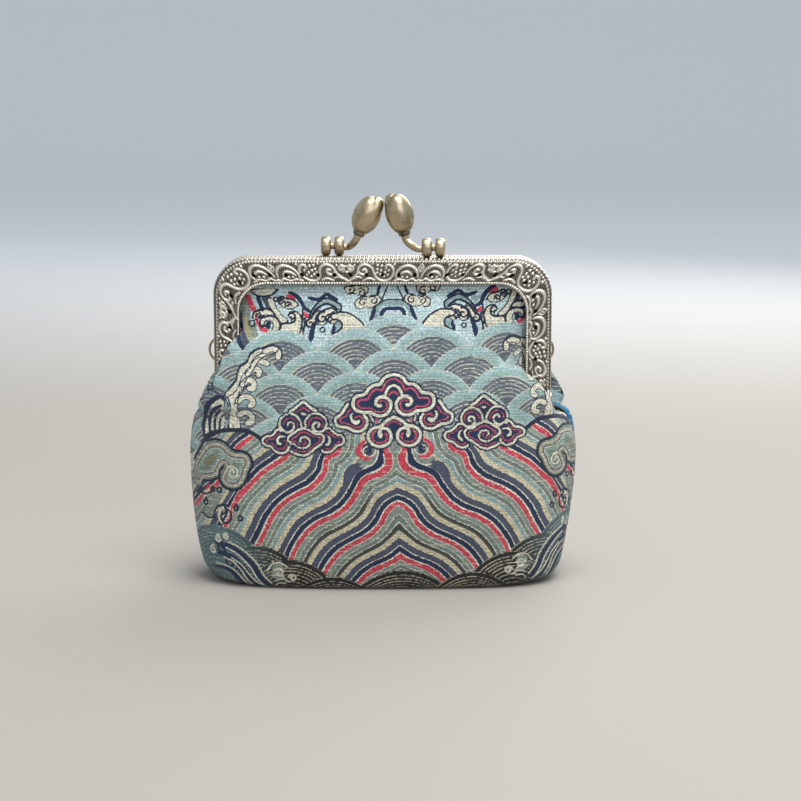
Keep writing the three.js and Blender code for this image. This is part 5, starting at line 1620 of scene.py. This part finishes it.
def makeFrameHalf(name, node, facing):
    # a bent channel swept along the band, its front cast in relief, with its two hinge ears
    low, out, gone = bandStations(relief["step"])
    wide, wall, corner = snap["channel"], snap["wall"], snap["edgeRound"]
    turn = np.linspace(0, math.pi / 2, 6)
    face = [(w, frontFace) for w in np.linspace(0, wide - corner, relief["facePoints"])]
    edge = [(wide - corner * (1 - math.sin(a)), frontFace - corner * (1 - math.cos(a))) for a in turn[1:]]
    flank = [(wide, d) for d in np.linspace(frontFace - corner, backFace, relief["flankPoints"])[1:]]
    back = [(w, backFace) for w in np.linspace(wide, 0, 5)[1:]]
    outer = np.array(face + edge + flank + back)
    inner = np.column_stack([
        np.minimum(outer[:, 0], wide - wall), np.clip(outer[:, 1], backFace + wall, frontFace - wall),
    ])
    place = np.concatenate([[0], np.cumsum(np.linalg.norm(np.diff(outer, axis=0), axis=1))])
    shown = place <= wide + snap["depth"] - 0.4
    normal = np.column_stack([np.gradient(outer[:, 1]), -np.gradient(outer[:, 0])]) * -1
    normal /= np.linalg.norm(normal, axis=1, keepdims=True)
    along, across = np.meshgrid(gone, place, indexing="ij")
    high = np.where(shown[None, :], reliefHeight(along, across), 0)
    high *= smoothStep((gone[-1] - np.abs(gone)) / 0.8)[:, None]
    holes, inset = holePlaces(low, out, gone)
    away = np.min([np.hypot(along - h, across - inset) for h in holes], axis=0)
    soft = relief["holeSoft"]
    pit = smoothStep((relief["holeRadius"] + soft / 2 - away) / soft)
    high = mix(high, -relief["holeDeep"], pit)
    section = outer[None] + normal[None] * high[..., None]
    reach = (out - low) / wide

    def onBand(section):
        # carries section places, across and deep, to the stations of the band
        flatPlace = low[:, None] + reach[:, None] * section[..., :1]
        return np.stack([flatPlace[..., 0], -section[..., 1], flatPlace[..., 1]], -1)

    skin = onBand(section)
    innerSkin = onBand(np.broadcast_to(inner, section.shape))
    rows, columns = skin.shape[:2]
    points = np.vstack([skin.reshape(-1, 3), innerSkin.reshape(-1, 3)])
    count = rows * columns
    faces = [asTriangles(gridQuads(rows, columns)), asTriangles(gridQuads(rows, columns, count))[:, ::-1]]
    number = np.arange(count).reshape(rows, columns)
    for border, turnRound in ((number[:, 0], 1), (number[:, -1], -1), (number[0], -1), (number[-1], 1)):
        a, b = border[:-1], border[1:]
        strip = asTriangles(np.column_stack([a, b, b + count, a + count])[:, ::turnRound])
        faces.append(strip)
    channel = outward(points, np.vstack(faces))
    parts = [channel]
    # the ground darkened as the plating's patina and the raised figures left bright, plus painted shade in
    # the sewing holes
    patinaAndPitShade = relief["groundTarnish"] - high.ravel() / relief["height"] * relief["proudBright"]
    patinaAndPitShade = patinaAndPitShade + relief["pitShade"] * pit.ravel()
    patinaAndShade = [np.clip(patinaAndPitShade, 0, 1.4), np.full(count, 0.5)]
    # hinge ears: the front half's pair is the inner one
    ear, drop = hinge["ear"], hinge["drop"]
    axis = snap["armEnd"] - drop
    root = backFace + wall + ear
    rootTop = snap["armEnd"] + snap["armSlant"]
    arc = np.radians(np.linspace(*hinge["arc"], 25))
    seesAll = (-1.5, axis + 1.1)  # a point that sees the whole outline
    outline = [(-root, rootTop), (-root, snap["armEnd"] - 0.4 * drop), (-0.6 * ear, axis - 0.8 * ear)]
    outline += [(ear * math.cos(a), axis + ear * math.sin(a)) for a in arc]
    outline += [(-backFace - wall, snap["armEnd"] - 0.45), (-backFace - wall, rootTop)]
    far = snap["width"] / 2 - (wall + body["clearance"] if facing > 0 else 0)
    for side in (-1, 1):
        parts.append(prism(outline, seesAll, side * (far - wall), side * far))
        patinaAndShade.append(np.full(len(parts[-1][0]), relief["earTarnish"]))
    points, triangles = joinParts(parts)
    if facing < 0:
        points = points * [-1, -1, 1]
    piece = makePiece(name, points, triangles, [silver])
    setAttribute(piece, "patinaAndShade", np.concatenate(patinaAndShade))
    s = np.concatenate([along.ravel(), along.ravel(), np.zeros(len(points) - 2 * count)])
    w = np.concatenate([across.ravel(), across.ravel() + 20, np.zeros(len(points) - 2 * count)])
    setMap(piece, s, w)
    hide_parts(node)
    print("purse:", name, len(triangles), "triangles")


makeFrameHalf("front_frame_cast", "front_frame", 1)
makeFrameHalf("back_frame_cast", "back_frame", -1)

# Clasp, rivets and loops
clasp = {
    "beadRadius": 2.45, "beadThick": 2.5, "beadAt": (11.1, 14.5), "neck": 0.9, "stud": 0.75,
    "armAtBead": 0.85, "armAtBud": 1.0, "armDrop": 0.3, "budLength": 10.0, "budRadius": 3.55,
    "budDepth": 0.9, "collar": 0.8, "studHead": 1.3, "studDeep": 1.6, "studHeadTall": 0.6,
    "beadRim": (0.72, 0.28, 2.4),
    # the collar's rows give radius and height
    "collarRows": [(0, -0.8), (1.36, -0.8), (1.55, -0.3), (1.6, 0.3), (1.3, 0.8), (0, 0.8)],
    "petal": (0.84, 0.8, 0.24),  # radius, length and start as shares of the bud's
    "petalSquash": [0.75, 0.85, 1], "petalShift": (-0.28, 0.16),  # shift as shares of the bud's radius
    "left": (3.85, 10.8, 25.0), "right": (4.15, 11.3, 15.0),  # across, above the frame, tilt in degrees
}
claspDepth = backFace + snap["depth"] / 2
beadUp = snap["top"] + body["clearance"] + clasp["beadRadius"]
# Shares of the bud's radius and length, from the stem to the tip
budOutline = [(0, 0), (0.42, 0.015), (0.72, 0.12), (0.94, 0.3), (1, 0.5), (0.9, 0.71), (0.6, 0.91), (0, 1)]


def turnOnto(part, rotate, shift):
    # rotates a part by a 3 by 3 matrix and moves it
    points, triangles = part
    return outward(points @ np.array(rotate, float).T + shift, triangles)


def budShape(radius, length, low, ridge=None):
    # a bud's smooth outline turned round, from pole to pole
    outline = curveThrough(budOutline, 60)
    outline[:, 0] = np.maximum(outline[:, 0], 0)
    rows = [(r * radius, low + z * length) for r, z in outline]
    rows[0], rows[-1] = (0, rows[0][1]), (0, rows[-1][1])
    return revolve(rows, 64, ridge)


def petalRidge(turn, level):
    # shallow folds that run up the petal and die out towards its tip
    fade = 0.045 * np.clip(1 - level / clasp["budLength"], 0, 1)
    return 1 + fade * np.cos(turn * 5 + 0.6) - 0.06 * np.exp(-(((turn - 2.5) / 0.16) ** 2))


def makeClasp(word, side):
    # an arm, its two beads and their studs in one piece, and a bud with its petal and collar in another
    across, above, tilt = clasp[word]
    lean = math.radians(tilt)
    along = np.array([math.sin(lean), 0, -math.cos(lean)])
    length = clasp["budLength"]
    place = np.array([across, -clasp["budDepth"], snap["top"] + above])
    top = place + along * (length / 2 + clasp["collar"] + body["clearance"])
    level = np.array([clasp["beadAt"][0] - 0.9 * clasp["beadThick"], -claspDepth, beadUp - clasp["armDrop"]])
    bend = mix(top + along * 1.7, level, 0.35)
    start = np.array([clasp["beadAt"][0] - clasp["beadThick"] / 4, -claspDepth, beadUp - clasp["armDrop"]])
    path = curveThrough(
        [start, level, bend, top + along * 0.9, top - along * (body["clearance"] - 0.03)], 40,
    )
    parts = [tube(path, np.linspace(clasp["armAtBead"], clasp["armAtBud"], 40), 24)]
    ontoX = [[0, 0, 1], [0, 1, 0], [-1, 0, 0]]
    first, second = clasp["beadAt"]
    neck = [(0, 0), (clasp["neck"], 0), (clasp["neck"], second - first), (0, second - first)]
    parts.append(turnOnto(revolve(neck, 24), ontoX, [first, -claspDepth, beadUp]))
    half = clasp["beadThick"] / 2
    turn = np.linspace(-1, 1, 25)
    flat, domed, power = clasp["beadRim"]
    rim = [(clasp["beadRadius"] * (flat + domed * math.sqrt(1 - abs(t) ** power)), t * half) for t in turn]
    for x in clasp["beadAt"]:
        bead = revolve([(0, -half)] + rim + [(0, half)], 48)
        parts.append(turnOnto(bead, ontoX, [x, -claspDepth, beadUp]))
        low, head = snap["top"] - clasp["studDeep"], clasp["studHead"]
        neckLow, thin = low + clasp["studHeadTall"], clasp["stud"]
        stud = [(0, low), (head, low), (head, neckLow), (thin, neckLow), (thin, beadUp - 1), (0, beadUp - 1)]
        parts.append(turnOnto(revolve(stud, 16), np.eye(3), [x, -claspDepth, 0]))
    arm = joinParts(parts)
    bud = budShape(clasp["budRadius"], length, 0, petalRidge)
    wide, tall, low = clasp["petal"]
    petal = budShape(wide * clasp["budRadius"], tall * length, low * length)
    aside, behindBud = (share * clasp["budRadius"] for share in clasp["petalShift"])
    petal = (petal[0] * clasp["petalSquash"] + [aside, behindBud, 0], petal[1])
    bud = joinParts([bud, petal, revolve(clasp["collarRows"], 32)])
    c, s = math.cos(lean), math.sin(lean)
    rotate = [[c, 0, -s], [0, 1, 0], [s, 0, c]]
    bud = ((bud[0] - [0, 0, length / 2]) @ np.array(rotate).T + place, bud[1])
    turned = [-1, -1, 1] if side < 0 else [1, 1, 1]
    # painted shade: the arm is darker where it comes down to the frame, the bud darker towards its lower end
    # by the collar
    armLowShade = 0.12 + 0.55 * smoothStep((snap["top"] + 1.6 - arm[0][:, 2]) / 2)
    budLowShade = 0.1 + 0.5 * smoothStep((-3.2 - (bud[0] - place) @ -along) / 2)
    for name, (points, triangles), patinaAndShade in (
        ("clasp_arm", arm, armLowShade), ("clasp_bud", bud, budLowShade),
    ):
        piece = makePiece(word + "_" + name + "_cast", points * turned, triangles, [brass])
        setAttribute(piece, "patinaAndShade", patinaAndShade)
        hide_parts(word + "_" + name)


makeClasp("left", -1)
makeClasp("right", 1)

# The side loops, whose ends reach into the frame, and the rivets with a dome at each end
sideLoop = {"radius": 3.3, "wire": 0.3, "up": 58.2, "behind": 2.3, "end": 84, "left": 2.3, "right": 1.5}
for word, side in (("left", -1), ("right", 1)):
    radius, wire = sideLoop["radius"], sideLoop["wire"]
    middle = snap["width"] / 2 + sideLoop[word] - radius - wire
    angle = np.radians(np.linspace(-sideLoop["end"], sideLoop["end"], 49))
    x, z = side * (middle + radius * np.cos(angle)), sideLoop["up"] + radius * np.sin(angle)
    path = np.column_stack([x, 0 * angle + sideLoop["behind"], z])
    piece = makePiece(word + "_side_loop_wire", *tube(path, wire, 16), [brass])
    setAttribute(piece, "patinaAndShade", np.full(len(piece.data.vertices), 0.2))
    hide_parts(word + "_side_loop")
    shank, cap, tall = hinge["shank"], hinge["cap"], hinge["capTall"]
    near = snap["width"] / 2 - 2 * snap["wall"] - 2 * body["clearance"]
    far = snap["width"] / 2 + body["clearance"]
    dome = [(cap * math.cos(a), tall * math.sin(a)) for a in np.linspace(0, math.pi / 2, 9)]
    lowDome, highDome = [(r, near - h) for r, h in dome[::-1]], [(r, far + h) for r, h in dome]
    rows = lowDome + [(shank, near), (shank, far)] + highDome
    rows[0], rows[-1] = (0, rows[0][1]), (0, rows[-1][1])
    ontoSide = [[0, 0, side], [0, 1, 0], [1, 0, 0]]
    rivet = turnOnto(revolve(rows, 32), ontoSide, [0, 0, snap["armEnd"] - hinge["drop"]])
    piece = makePiece(word + "_hinge_rivet_head", *rivet, [silver])
    setAttribute(piece, "patinaAndShade", np.full(len(piece.data.vertices), 0.3))
    plainMap(piece)
    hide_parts(word + "_hinge_rivet")
print("purse: frame, clasp, loops and rivets made")
